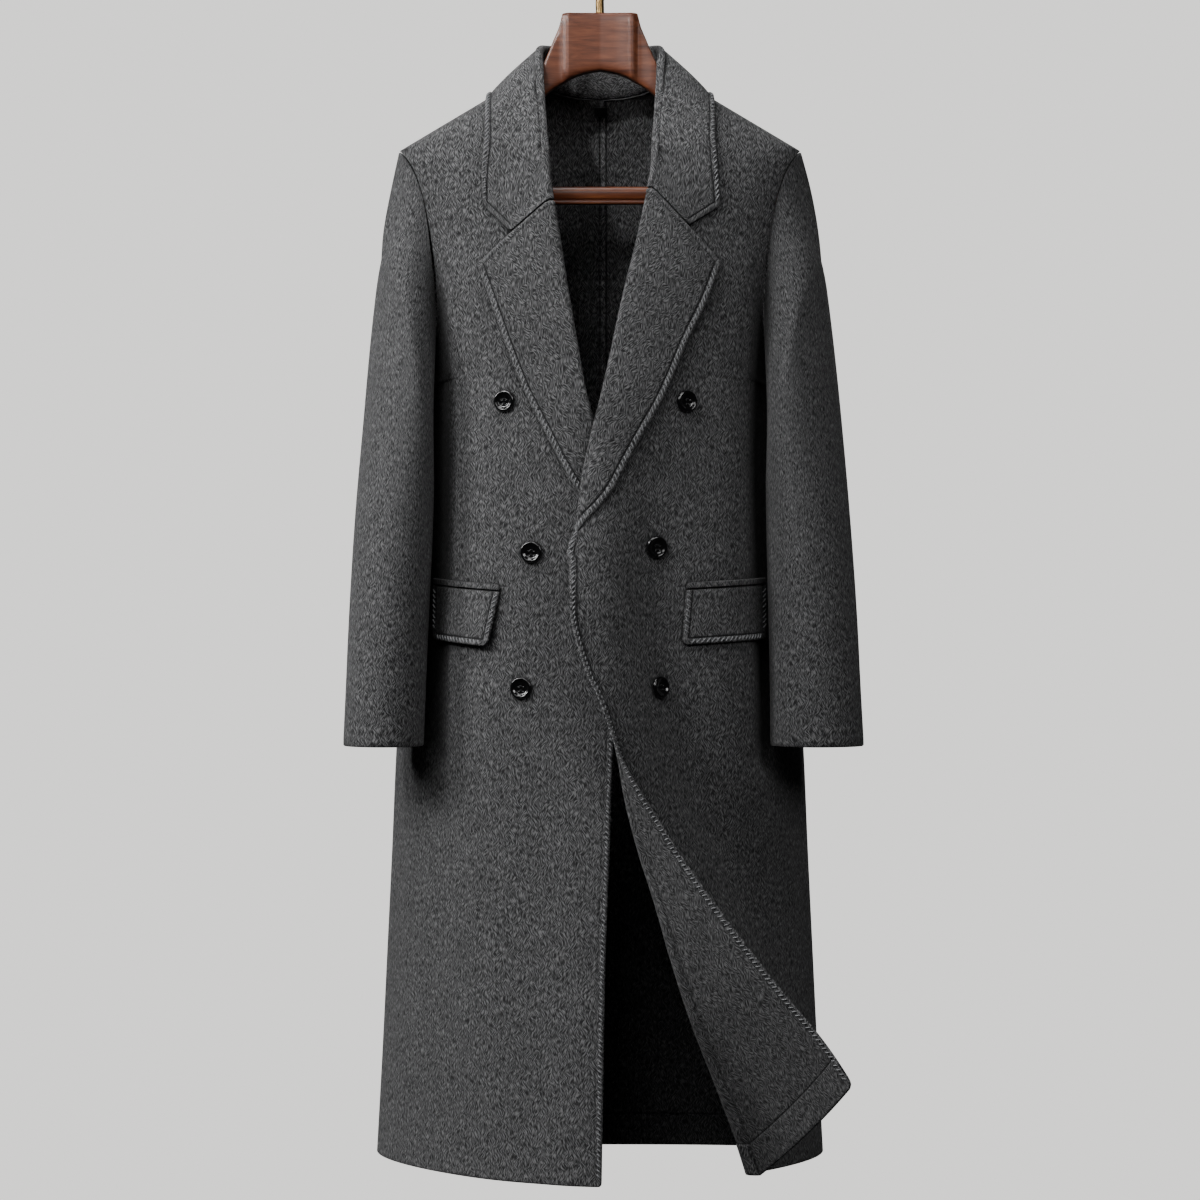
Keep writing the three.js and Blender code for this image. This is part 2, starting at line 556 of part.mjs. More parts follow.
// The points of one row past the panel: round the roll and over the turned cloth to its free edge
function turnedPoints(side, turn, up) {
  const way = side === "left" ? 1 : -1;
  const get = (column) => smooth(turn.rows, "up", column, up);
  const ridgeX = get("ridgeX");
  const radius = get("radius");
  const curl = get("curl");
  const lean = edgeLean(side, up, turn.breakUp);
  const bentStrip = (edgeStrip / lean) * Math.sin(Math.min(lean, Math.PI / 2));
  const stripSetback = lean < 0.01 ? edgeStrip : bentStrip;
  const setback = mix(stripSetback, radius, curl);
  const start = frontSurface(side, up, ridgeX + setback);
  const ridge = frontSurface(side, up, ridgeX);
  const inward = ridge.point.clone().sub(start.point).setZ(0).normalize();
  const outward = start.normal.clone().setZ(0).normalize();
  const centre = start.point.clone().addScaledVector(outward, radius);
  const rolled = centre.clone().addScaledVector(outward, radius);
  const onChest = up > turn.breakUp;
  const edge = onChest || side === "right"
    ? null
    : vector(way * get("edgeX"), get("edgeY"), get("edgeUp"));
  const steps = rollSteps + turnedSteps;
  const points = [];
  for (let k = 1; k <= steps; k++) {
    const share = k / steps;
    let strip;
    if (lean < 0.01) {
      strip = frontSurface(side, up, ridgeX + setback * (1 - share)).point;
    } else {
      const bend = lean * share;
      strip = start.point.clone();
      strip.addScaledVector(inward, (edgeStrip / lean) * Math.sin(bend));
      strip.addScaledVector(outward, (edgeStrip / lean) * (1 - Math.cos(bend)));
    }
    let curled;
    if (k <= rollSteps) {
      const angle = (Math.PI * k) / rollSteps;
      curled = centre.clone();
      curled.addScaledVector(outward, -radius * Math.cos(angle));
      curled.addScaledVector(inward, radius * Math.sin(angle));
    } else {
      const over = (k - rollSteps) / turnedSteps;
      if (edge) {
        curled = rolled.clone().lerp(edge, over);
        curled.addScaledVector(outward, 3 * radius * over * (1 - over));
      } else {
        const out = mix(ridgeX + setback, get("edgeX"), over);
        const height = mix(up, get("edgeUp"), over);
        const place = frontSurface(side, height, out);
        const lift = mix(2 * radius, get("lift"), over) + 1.2 * Math.sin(Math.PI * over) * curl;
        curled = place.point.addScaledVector(place.normal, lift);
      }
    }
    points.push(strip.lerp(curled, curl));
  }
  return { start: ridgeX + setback, points };
}

function frontPiece(side, turn) {
  const way = side === "left" ? 1 : -1;
  const rows = frontRows(side, turn);
  const gorgeRow = rows.indexOf(turn.gorgeUp);
  const points = [];
  const seams = [];
  for (const up of rows) {
    const below = up <= turn.gorgeUp;
    const turned = turnedPoints(side, turn, Math.min(up, turn.gorgeUp));
    const innerX = below ? turned.start : smooth(frontNeckline, "up", "x", up);
    const outer = outerTurn(up, "frontX") - 0.0009;
    const inner = turnAt(up, innerX);
    const row = [];
    for (let j = 0; j <= panelColumns; j++) {
      const turnShare = mix(outer, inner, j / panelColumns);
      const out = bodyPoint(up, turnShare).x;
      row.push(frontSurface(side, up, out).point);
    }
    seams.push(bodyNormal(up, way * outer));
    const past = turned.points.map((p) => (below ? p : p.clone().setZ(up)));
    points.push([...row, ...past]);
  }
  pullInFromSeam(points, rows);
  return clothWall(points, {
    present: (i, j) => j < panelColumns || i < gorgeRow,
    direction: (i, j) => (j === 0 ? seams[i] : null),
    inner: (i) => (rows[i] <= hemTurnUp ? hemExtra : 0),
  });
}

// Moves the outer column of a front or a back inwards from the seam, so that two pieces keep their gap
function pullInFromSeam(points, rows) {
  points.forEach((row, i) => {
    const inwards = row[1].clone().sub(row[0]).normalize();
    const atTip = Math.abs(rows[i] - shoulderTipUp) < 1 ? 1.5 : 1;
    row[0].addScaledVector(inwards, (seamGap / 2) * atTip);
  });
}

add(coat, "front_left", frontPiece("left", leftTurn), wool);
add(coat, "front_right", frontPiece("right", rightTurn), wool);

// The backs, which meet at a centre seam
const backColumns = 9;
const backRows = [
  0, 36, 38, 110, 200, 300, 400, 500, 600, 700, 790, 858, 866, 880, 900, 935, 967, 1011, 1059, 1087, 1102,
  1114, 1135, 1156, 1172, 1183, 1184.5, 1188, 1192.5, 1197,
];
function backPiece(side) {
  const way = side === "left" ? 1 : -1;
  const seams = [];
  const centre = [];
  const points = backRows.map((up) => {
    const outer = outerTurn(up, "backX") + 0.0009;
    const innerX = up <= backNeckUp ? seamGap / 2 : smooth(backNeckline, "up", "x", up);
    const inner = Math.abs(turnAt(up, innerX, true));
    seams.push(bodyNormal(up, way * outer));
    centre.push(bodyNormal(up, way * inner));
    return Array.from({ length: backColumns + 1 }, (_, j) =>
      bodyPoint(up, way * mix(outer, inner, j / backColumns)),
    );
  });
  pullInFromSeam(points, backRows);
  return clothWall(points, {
    direction: (i, j) => {
      if (j === 0) return seams[i];
      return j === backColumns ? centre[i] : null;
    },
    inner: (i) => (backRows[i] <= hemTurnUp ? hemExtra : 0),
  });
}
add(coat, "back_left", backPiece("left"), wool);
add(coat, "back_right", backPiece("right"), wool);

// The sleeves
const sleeveRows = 17;
const rowSpread = 1.25;
const easeIntoTube = 130;
const sleeveGap = 1.5;
// The armhole seam folds under between these heights, and the sleeve falls over it below the last
const foldStartsUp = 935;
const foldEndsUp = 975;
const foldedBelow = 1000;

// The armhole's edge from the shoulder tip, down the front to the underarm and up the back
function armholeLoop(side) {
  const way = side === "left" ? 1 : -1;
  const heights = armhole.map((row) => row.up).reverse();
  const upTheBack = heights.slice(1, -1).reverse();
  const places = [
    ...heights.map((up) => ({ up, turn: way * outerTurn(up, "frontX") })),
    ...upTheBack.map((up) => ({ up, turn: way * outerTurn(up, "backX") })),
  ];
  return places.map(({ up, turn }) => ({ up, point: bodyPoint(up, turn), normal: bodyNormal(up, turn) }));
}

function sleevePoint(side, up, angle) {
  const get = (column) => smooth(sleeveSections[side], "up", column, up);
  const turned = THREE.MathUtils.degToRad(get("turn"));
  const depth = get("depth");
  const reach = (get("outer") - get("inner")) / 2;
  const acrossSlant = depth * Math.sin(turned);
  const thin = Math.sqrt(Math.max(reach * reach - acrossSlant * acrossSlant, 100)) / Math.cos(turned);
  const a = thin * Math.cos(angle);
  const b = depth * Math.sin(angle);
  const out = (get("outer") + get("inner")) / 2 + a * Math.cos(turned) - b * Math.sin(turned);
  const y = get("middle") - a * Math.sin(turned) - b * Math.cos(turned);
  return vector(side === "left" ? out : -out, y, up);
}

function sleevePiece(side) {
  const loop = armholeLoop(side);
  const centre = loop.reduce((sum, { point }) => sum.add(point), vector(0, 0, 0)).divideScalar(loop.length);
  const points = [];
  for (let i = 0; i <= sleeveRows; i++) {
    points.push(
      loop.map(({ point, normal, up: seamUp }, j) => {
        const angle = (2 * Math.PI * j) / loop.length;
        const across = centre.clone().sub(point);
        across.addScaledVector(normal, -across.dot(normal)).normalize();
        const over = mix(-1.5, seamGap + 0.2, ease(seamUp, foldStartsUp, foldEndsUp));
        const beside = (clothThickness + sleeveGap) * (1 - ease(seamUp, foldEndsUp, foldedBelow + 60));
        const start = point.clone().addScaledVector(across, over).addScaledVector(normal, beside);
        if (i === 0) return start;
        const share = (i / sleeveRows) ** rowSpread;
        const up = mix(start.z, cuffUp, share);
        const tube = sleevePoint(side, up, angle);
        const leave = ease(start.z - up, 0, easeIntoTube);
        const hold = j === 0 ? 1 : leave;
        const reached = vector(mix(start.x, tube.x, hold), mix(start.y, tube.y, hold), up);
        const climb = seamUp < foldedBelow ? 1 : ease(start.z - up, 0, 60);
        return clearOfBody(reached, (clothThickness + sleeveGap) * climb);
      }),
    );
  }
  return clothWall(points, {
    wrap: true,
    direction: (i, j) => (i === 0 && loop[j].up > foldedBelow ? loop[j].normal : null),
  });
}
add(coat, "sleeve_left", sleevePiece("left"), wool);
add(coat, "sleeve_right", sleevePiece("right"), wool);

// The collar
const standSteps = 3;
const collarRadius = 3.6;

// Points at given shares of the length of a curve through table rows
function curvePoints(rows, shares) {
  const curve = new THREE.CatmullRomCurve3(rows, false, "centripetal");
  return shares.map((share) => curve.getPointAt(THREE.MathUtils.clamp(share, 0, 1)));
}

// Half of the collar: stations from centre back to the gorge, each with its neck seam, roll and free edge
function collarStations(side, turn) {
  const way = side === "left" ? 1 : -1;
  const middle = (turn.gorgeUp + rowsAboveGorge[0]) / 2;
  const frontHeights = [...rowsAboveGorge].reverse().concat([middle, turn.gorgeUp]);
  const seamOf = (up, x, back) => {
    const at = turnAt(up, way * x, back);
    return { point: bodyPoint(up, at), normal: bodyNormal(up, at) };
  };
  const seamBack = backNeckline.map(({ up, x }) => seamOf(up, x, true));
  const seamFront = frontHeights.map((up) => seamOf(up, smooth(frontNeckline, "up", "x", up), false));
  const gorgeStart = turnedPoints(side, turn, turn.gorgeUp).start;
  const nextX = smooth(frontNeckline, "up", "x", middle);
  const footShare = 0.45;
  const footUp = mix(turn.gorgeUp, middle, footShare);
  seamFront[seamFront.length - 1] = seamOf(footUp, mix(gorgeStart, nextX, footShare), false);
  const sharesBack = seamBack.map((_, k) => k / (seamBack.length - 0.5));
  const sharesFront = seamFront.map((_, k) => (k + 0.5) / (seamFront.length - 0.5));
  const ridgeEnd = turnedPoints(side, turn, turn.gorgeUp).points[Math.floor(rollSteps / 2)];
  const gorgeRidge = vector(way * smooth(turn.rows, "up", "ridgeX", turn.gorgeUp), ridgeEnd.y, turn.gorgeUp);
  const place = ({ x, y, up }) => vector(way * x, y, up);
  const rollBack = curvePoints(rollToShoulder.map(place), sharesBack);
  const rollFront = curvePoints([...rollToGorge.map(place), gorgeRidge], sharesFront);
  const lie = clothThickness + layGap + 1.2;
  const onBack = ({ x, up }) => {
    const at = turnAt(up, way * x, true);
    return bodyPoint(up, at).addScaledVector(bodyNormal(up, at), lie);
  };
  const onFront = ({ x, up }) => {
    const at = turnAt(up, way * x);
    return bodyPoint(up, at).addScaledVector(bodyNormal(up, at), lie);
  };
  const edgeBack = curvePoints(collarEdgeBack.map(onBack), sharesBack);
  const tip = onFront(collarPoint[side]);
  const edgeFront = curvePoints([...collarEdgeFront.map(onFront), tip], sharesFront);
  const seams = [...seamBack, ...seamFront];
  const rolls = [...rollBack, ...rollFront];
  const edges = [...edgeBack, ...edgeFront];
  return seams.map((seam, k) => ({ seam, roll: rolls[k], edge: edges[k] }));
}

// Moves a point out of the coat's body until it lies a given distance off it
function clearOfBody(point, gap) {
  const moved = point.clone();
  for (let step = 0; step < 12; step++) {
    if (moved.z > neckPointUp + 4) return moved;
    const side = smooth(bodySections, "up", "side", moved.z);
    const back = moved.y > side;
    const half = smooth(bodySections, "up", "half", moved.z);
    const round = smooth(bodySections, "up", back ? "backRound" : "frontRound", moved.z);
    const depth = Math.abs(smooth(bodySections, "up", back ? "back" : "front", moved.z) - side);
    const across = Math.abs(moved.x) / half;
    const along = Math.abs(moved.y - side) / depth;
    const level = (across ** round + along ** round) ** (1 / round);
    const angle = (Math.atan2(across ** (round / 2), along ** (round / 2)) * 2) / Math.PI;
    const turn = (Math.sign(moved.x) || 1) * (back ? 2 - angle : angle);
    const off = moved.clone().sub(bodyPoint(moved.z, turn));
    const normal = bodyNormal(moved.z, turn);
    const distance = level < 1 ? -off.length() : off.dot(normal);
    if (distance >= gap - 0.02) return moved;
    moved.addScaledVector(normal, Math.min(gap - distance, 6));
  }
  return moved;
}

const fallSteps = turnedSteps;
function collarRow(side, turn, station, k, count) {
  const way = side === "left" ? 1 : -1;
  const { seam, roll, edge } = station;
  const fromGorge = count - 1 - k;
  const points = [];
  const lying = ease(fromGorge, 0, 4);
  const rise = roll.clone().sub(seam.point).normalize();
  if (fromGorge < 2) rise.copy(vector(-way, 0, 0.6).normalize());
  const foot = seam.point.clone().addScaledVector(rise, seamGap + (fromGorge < 8 ? 0.95 : 0.4));
  const outward = edge.clone().sub(foot);
  const level = outward.clone().setZ(0).normalize();
  const chest = frontSurface(side, turn.gorgeUp, 60).normal.clone().setZ(0).normalize();
  const away = chest.lerp(level, lying).normalize();
  const across = vector(-way, 0, 0.2).normalize();
  const crown = across.lerp(vector(0, 0, 1), lying).normalize();
  crown.addScaledVector(away, -crown.dot(away)).normalize();
  const centre = roll.clone().addScaledVector(crown, -collarRadius);
  const inside = centre.clone().addScaledVector(away, -collarRadius);
  for (let s = 0; s < standSteps; s++) points.push(foot.clone().lerp(inside, s / standSteps));
  for (let s = 0; s <= rollSteps; s++) {
    const angle = (Math.PI * s) / rollSteps;
    const place = centre.clone().addScaledVector(away, -collarRadius * Math.cos(angle));
    place.addScaledVector(crown, collarRadius * Math.sin(angle));
    points.push(s === rollSteps ? clearOfBody(place, clothThickness + layGap) : place);
  }
  const start = points[points.length - 1];
  const notch = collarNotch[side];
  const dip = [1, 0.62, 0.34, 0.15, 0.05][fromGorge] ?? 0;
  for (let s = 1; s <= fallSteps; s++) {
    const over = s / fallSteps;
    const straight = start.clone().lerp(edge, over);
    const tent = over < 0.5 ? 2 * over : 2 - 2 * over;
    const middle = start.clone().lerp(edge, 0.5);
    straight.z += (notch.up - middle.z) * tent * dip;
    straight.x += (way * notch.x - middle.x) * tent * dip;
    straight.addScaledVector(away, 4 * Math.sin(Math.PI * over) * (1 - dip));
    points.push(clearOfBody(straight, clothThickness + layGap + 1));
  }
  return points;
}

function collarPiece() {
  const halves = [
    { side: "right", turn: rightTurn },
    { side: "left", turn: leftTurn },
  ].map(({ side, turn }) => {
    const stations = collarStations(side, turn);
    const rows = stations.map((s, k) => collarRow(side, turn, s, k, stations.length));
    raiseToGorge(side, turn, rows[rows.length - 1]);
    return { rows, normals: stations.map(({ seam }) => seam.normal) };
  });
  const [right, left] = halves;
  const points = [...right.rows.slice(1).reverse(), ...left.rows];
  points[right.rows.length - 1].forEach((p) => p.setX(0));
  const normals = [...right.normals.slice(1).reverse(), ...left.normals];
  return clothWall(points, { direction: (i, j) => (j === 0 ? normals[i] : null) });
}

// Lays the end of the collar just above the top of the lapel, along the gorge
function raiseToGorge(side, turn, row) {
  const way = side === "left" ? 1 : -1;
  const { start, points } = turnedPoints(side, turn, turn.gorgeUp);
  const lapel = [frontSurface(side, turn.gorgeUp, start).point, ...points];
  const first = row.length - lapel.length;
  lapel.slice(0, 1 + rollSteps + turnedSteps / 2).forEach((p, k) => {
    row[first + k].copy(p).add(vector(-way * 0.1, 0, seamGap + 0.85));
  });
  for (let s = 1; s < standSteps; s++) row[s].copy(row[0]).lerp(row[first], s / first);
}
add(coat, "collar", collarPiece(), wool);

// Pocket flaps and the welts above them, made from points on the fronts moved outwards
const pocketColumns = 11;
function pocketStrip(side, topDrop, bottomDrop, rows, off) {
  const { innerX, innerUp, outerX, outerUp, lean, stand } = pocketPlaces[side];
  const way = side === "left" ? 1 : -1;
  const points = [];
  for (let i = 0; i <= rows; i++) {
    const drop = mix(topDrop, bottomDrop, i / rows);
    const row = [];
    for (let j = 0; j <= pocketColumns; j++) {
      const along = j / pocketColumns;
      const top = mix(innerUp, outerUp, along);
      const from = Math.abs(turnAt(top - drop, way * (innerX - (lean * Math.max(drop, 0)) / pocketFlapDrop)));
      const to = Math.abs(turnAt(top - drop, way * outerX));
      const out = Math.abs(bodyPoint(top - drop, mix(from, to, along)).x);
      const place = frontSurface(side, top - drop, out, false);
      const hang = off + (stand * Math.max(drop, 0) * (1 - along)) / pocketFlapDrop;
      row.push(place.point.addScaledVector(place.normal, hang));
    }
    points.push(row);
  }
  return clothWall(points);
}
for (const side of ["left", "right"]) {
  const off = clothThickness + pocketPlaces[side].gap;
  add(coat, "pocket_flap_" + side, pocketStrip(side, 0.4, pocketFlapDrop, 4, off), wool);
  add(coat, "pocket_welt_" + side, pocketStrip(side, -pocketWeltHeight, -0.4, 1, off), wool);
}

// Buttons with a raised rim, each square to the cloth under it
function buttonGeometry() {
  const r = buttonDiameter / 2;
  const profile = [
    [0, 0],
    [r * 0.72, 0],
    [r, 1.4],
    [r, 2.9],
    [r * 0.9, 3.9],
    [r * 0.76, 3.7],
    [r * 0.62, 2.6],
    [0, 2.3],
  ];
  return new THREE.LatheGeometry(profile.map(([x, y]) => new THREE.Vector2(x, y)), 18);
}
for (const side of ["left", "right"]) {
  buttonPlaces[side].forEach(({ x, up, seat }, k) => {
    const { point } = frontSurface(side, up, x);
    const facing = clothFacing(side, up, x);
    const button = add(coat, `button_${side}_${k + 1}`, buttonGeometry(), horn);
    button.quaternion.setFromUnitVectors(vector(0, 1, 0), facing);
    button.position.copy(point).addScaledVector(facing, clothThickness / 2 + seat);
  });
}

// A hanging loop's folded tab inside the back neck
const tab = { width: 13, height: 11, thickness: 1.6, up: 1171.5 };
const tabNormal = bodyNormal(tab.up, 1.999);
const tabMesh = add(coat, "hang_loop", new THREE.BoxGeometry(tab.width, tab.thickness, tab.height), ribbon);
tabMesh.position.copy(bodyPoint(tab.up, 2).setX(0));
tabMesh.position.addScaledVector(tabNormal, -(clothThickness + tab.thickness) / 2 - 0.75);
tabMesh.rotation.x = Math.atan2(tabNormal.z, tabNormal.y);

// The hanger's body: a loft of rounded sections, with sockets for the bar and the hook
const hookRadius = 4.6;
const barHeight = 20;
const barDepth = 13;
function hangerSection({ x, top, bottom, half, middle = 0 }) {
  const corner = Math.min(6, half * 0.6);
  const outline = [
    [-half + corner, bottom], [half - corner, bottom], [half, bottom + corner],
    [half, top - corner * 2], [half * 0.72, top - corner * 0.8], [half * 0.3, top],
    [-half * 0.3, top], [-half * 0.72, top - corner * 0.8], [-half, top - corner * 2],
    [-half, bottom + corner],
  ];
  return outline.map(([y, up]) => vector(x, middle + y, up));
}
function hangerBodyGeometry() {
  const arms = hangerArmStations.map((x) => {
    const share = (x - hangerArmStations[0]) / (hangerArmStations.at(-1) - hangerArmStations[0]);
    const { fallsFromUp, run, rise } = armSlope;
    const seamUp = fallsFromUp - rise + (rise * (shoulderTipX - x)) / run;
    const top = seamUp - 1 - clothThickness / 2 / Math.cos(Math.atan(rise / run));
    const height = mix(hangerArmHeight.neck, hangerArmHeight.end, share);
    return { x, top, bottom: top - height, half: mix(hangerArmHalf.neck, hangerArmHalf.end, share) };
  });
  const half = [...hangerStations, ...arms];
  const mirrored = half.slice(1).reverse().map((station) => ({ ...station, x: -station.x }));
  return skin([...mirrored, ...half].map(hangerSection));
}

// The bar's outline has a groove along it, above a thin lower rib
function barOutline(extra = 0) {
  const w = barDepth / 2 + extra;
  const h = barHeight / 2 + extra;
  const groove = extra ? 0 : 2.2;
  const shape = new THREE.Shape();
  const outline = [
    [-w * 0.5, -h], [w * 0.5, -h], [w * 0.8, -h + 1.6], [w * 0.8, -h + 3], [w - groove, -h + 4],
    [w - groove, -h + 6], [w, -h + 7], [w, h - 4], [w * 0.55, h],
  ];
  const mirrored = outline.slice(2).reverse().map(([x, y]) => [-x, y]);
  [...outline, ...mirrored].forEach(([x, y], k) => (k ? shape.lineTo(x, y) : shape.moveTo(x, y)));
  return shape;
}
function barGeometry(reach, extra) {
  const geometry = new THREE.ExtrudeGeometry(barOutline(extra), { depth: 2 * reach, bevelEnabled: false });
  geometry.translate(0, 0, -reach);
  geometry.rotateX(Math.PI / 2);
  geometry.rotateZ(Math.PI / 2);
  return geometry.translate(0, 0, barUp);
}

// The hook: a stem that swings out into a round bow, whose inside top is the rest
const bowInside = 19;
function hookGeometry() {
  const reach = bowInside + hookRadius;
  const centreUp = hookRestUp - bowInside;
  const bow = [-42, -15, 15, 45, 75, 105, 135, 165, 195].map((degrees) => {
    const angle = THREE.MathUtils.degToRad(degrees);
    return vector(reach * Math.cos(angle), 0, centreUp + reach * Math.sin(angle));
  });
  const stemPlaces = [[0, 1254], [0, 1268], [0, 1282], [2.4, 1292], [8.5, 1300.5]];
  const stem = stemPlaces.map(([x, z]) => vector(x, 0, z));
  const path = new THREE.CatmullRomCurve3([...stem, ...bow], false, "centripetal");
  const circle = Array.from({ length: 10 }, (_, k) => {
    const angle = (2 * Math.PI * k) / 10;
    return new THREE.Vector2(hookRadius * Math.cos(angle), hookRadius * Math.sin(angle));
  });
  return new THREE.ExtrudeGeometry(new THREE.Shape(circle), { steps: 34, extrudePath: path });
}

// Cutting with manifold-3d
const wasm = await Module();
wasm.setup();
function solidOf(geometry) {
  const bare = geometry.clone();
  bare.deleteAttribute("normal");
  bare.deleteAttribute("uv");
  const merged = mergeVertices(bare, 1e-4);
  return new wasm.Manifold(
    new wasm.Mesh({
      numProp: 3,
      vertProperties: new Float32Array(merged.attributes.position.array),
      triVerts: new Uint32Array(merged.index.array),
    }),
  );
}
function geometryOf(solid) {
  const mesh = solid.getMesh();
  const geometry = new THREE.BufferGeometry();
  geometry.setAttribute("position", new THREE.BufferAttribute(new Float32Array(mesh.vertProperties), 3));
  geometry.setIndex(new THREE.BufferAttribute(new Uint32Array(mesh.triVerts), 1));
  geometry.computeVertexNormals();
  return geometry;
}
const stemSocket = new THREE.CylinderGeometry(hookRadius + 0.5, hookRadius + 0.5, socketDepth, 12);
stemSocket.rotateX(Math.PI / 2).translate(0, 0, socketFootUp + socketDepth / 2);
const hangerBody = solidOf(hangerBodyGeometry())
  .subtract(solidOf(barGeometry(barReach + 0.4, 0.35)))
  .subtract(solidOf(stemSocket));
add(hanger, "hanger_body", geometryOf(hangerBody), mahogany);
add(hanger, "hanger_bar", barGeometry(barReach, 0), mahogany);
add(hanger, "hanger_hook", hookGeometry(), brass);

const part = new THREE.Group();
part.add(coat, hanger);
part.position.z = -hookRestUp;
export default part;
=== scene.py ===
# %% [markdown]
# # A long wool overcoat on its wooden hanger
# The coat is double-faced charcoal wool, unlined, hung open on a contoured hanger. The solids already have
# its true shape in coarse steps. Here each cloth piece is drawn again from the same few sizes, but in steps
# of a few millimetres, so that the rolls are round, the edges are soft and the stitching has a place to sit.

# %% Open the frame
import math
import bmesh
import bpy
import numpy as np
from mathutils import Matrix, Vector


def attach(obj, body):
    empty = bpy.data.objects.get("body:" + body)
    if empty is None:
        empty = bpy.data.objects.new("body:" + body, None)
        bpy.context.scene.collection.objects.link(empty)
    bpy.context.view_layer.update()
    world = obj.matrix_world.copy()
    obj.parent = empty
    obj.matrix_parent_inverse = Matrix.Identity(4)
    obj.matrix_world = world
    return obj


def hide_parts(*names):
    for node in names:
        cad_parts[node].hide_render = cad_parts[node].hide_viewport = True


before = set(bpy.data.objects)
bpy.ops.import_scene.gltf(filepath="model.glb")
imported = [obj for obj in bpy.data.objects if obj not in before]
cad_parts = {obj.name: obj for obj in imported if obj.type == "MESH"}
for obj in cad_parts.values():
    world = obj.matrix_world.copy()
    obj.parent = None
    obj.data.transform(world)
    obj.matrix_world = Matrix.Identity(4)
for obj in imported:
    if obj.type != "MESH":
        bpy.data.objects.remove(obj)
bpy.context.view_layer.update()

print("pieces in the frame:", len(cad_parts))

# %% [markdown]
# ## Camera
# The photograph was taken level with the coat's pockets by a long lens, so its verticals stay parallel and
# the hem shows a little from above at the front and from below at the back. A camera four metres away, with
# a field 1.32 m wide at the hook, gives the same. The coat is measured in millimetres up from its hem, and
# the frame's origin is the resting place inside the hook.

# %% Camera
mm = 0.001
hook_rest_up = 1344
photo_pixels = 1200
mm_per_pixel = 1.1
camera_distance = 4000
camera_up = 621.4


def to_frame(points):
    """Moves points from the coat's own millimetres, up from the hem, to metres from the hook's rest."""
    return (np.asarray(points, float) - np.array([0, 0, hook_rest_up])) * mm


camera_data = bpy.data.cameras.new("camera")
camera_data.sensor_width = 36
camera_data.lens = 36 * camera_distance / (photo_pixels * mm_per_pixel)
camera_data.clip_end = 30
camera = bpy.data.objects.new("camera", camera_data)
camera.location = to_frame([0, -camera_distance, camera_up])
camera.rotation_euler = (math.radians(90), 0, 0)
bpy.context.scene.collection.objects.link(camera)
bpy.context.scene.camera = camera
print("lens in mm:", round(camera_data.lens, 1))

# %% [markdown]
# ## Sizes of the coat
# A tailor works from a short list of measures at known heights. These tables hold the same ones as the
# solids: level sections of the body, the armhole, the necklines, and the line that each front turns over.
# Between rows the values follow a smooth curve that never overshoots.

# %% Tables and their smooth values
cloth = 2.5
seam_gap = 0.35
lay_gap = 0.6
hem_turn_up = 36
underarm_up = 858
shoulder_tip_up = 1114
neck_point_up = 1197
back_neck_up = 1183
cuff_up = 463
overlap_lift = 8.2


def columns(names, *rows):
    return dict(zip(names.split(), np.array(rows, float).T))


def smooth(table, column, at, key="up"):
    x, y = table[key], table[column]
    secant = np.diff(y) / np.diff(x)
    slope = np.concatenate([secant[:1], np.zeros(len(x) - 2), secant[-1:]])
    before, after = secant[:-1], secant[1:]
    turning = before * after <= 0
    slope[1:-1] = np.where(turning, 0, 2 * before * after / np.where(turning, 1, before + after))
    at = np.clip(at, x[0], x[-1])
    i = np.clip(np.searchsorted(x, at, side="right") - 1, 0, len(x) - 2)
    step = x[i + 1] - x[i]
    t = (at - x[i]) / step
    s = 1 - t
    ends = y[i] * (1 + 2 * t) * s * s + y[i + 1] * (3 - 2 * t) * t * t
    return ends + slope[i] * step * t * s * s - slope[i + 1] * step * t * t * s


def mix(a, b, share):
    return a + (b - a) * share


def ease(value, low, high):
    t = np.clip((value - low) / (high - low), 0, 1)
    return t * t * (3 - 2 * t)


def unit(vectors):
    return vectors / np.maximum(np.linalg.norm(vectors, axis=-1, keepdims=True), 1e-9)


body = columns(
    "up half front side back front_round back_round",
    (-20, 251, -155, 95, 151, 1.55, 2.5),
    (0, 250, -154, 95, 150, 1.55, 2.5),
    (117, 243.5, -150, 93, 146, 1.56, 2.5),
    (229, 238, -145, 91, 142, 1.57, 2.5),
    (341, 232.5, -140, 88, 139, 1.58, 2.5),
    (463, 227, -136, 85, 136, 1.6, 2.5),
    (600, 216, -131, 80, 133, 1.6, 2.5),
    (740, 207, -126, 72, 131, 1.62, 2.5),
    (858, 202, -118, 58, 128, 1.68, 2.4),
    (950, 207, -107, 38, 124, 1.82, 2.3),
    (1040, 214, -88, 15, 118, 1.98, 2.2),
    (1114, 219, -64, 0, 108, 2.15, 2.2),
    (1116, 215.7, -63, 0, 107.6, 2.15, 2.2),
    (1156, 148.8, -43, 0, 98, 2.2, 2.2),
    (1183, 103.7, -28, 0, 88, 2.2, 2.2),
    (1199, 77, -19, 0, 80, 2.2, 2.2),
    (1215, 50, -10, 0, 70, 2.2, 2.2),
)
armhole = columns(
    "up front_x back_x",
    (858, 202, 202),
    (866, 195, 199),
    (880, 187.5, 195),
    (900, 181.5, 191),
    (935, 178, 188.5),
    (967, 178.7, 190),
    (1011, 183.6, 195),
    (1059, 192.5, 204),
    (1087, 201.4, 211.5),
    (1102, 209.5, 216),
    (1114, 219, 219),
)
front_neckline = columns(
    "up x",
    (1040, 53),
    (1066, 58),
    (1085, 66),
    (1114, 73.5),
    (1150, 79),
    (1170, 80),
    (1185, 79.5),
    (1197, 77.8),
)
back_neckline = columns(
    "up x",
    (1183, 0.2),
    (1184.5, 25),
    (1188, 45),
    (1192.5, 60),
    (1197, 72),
)
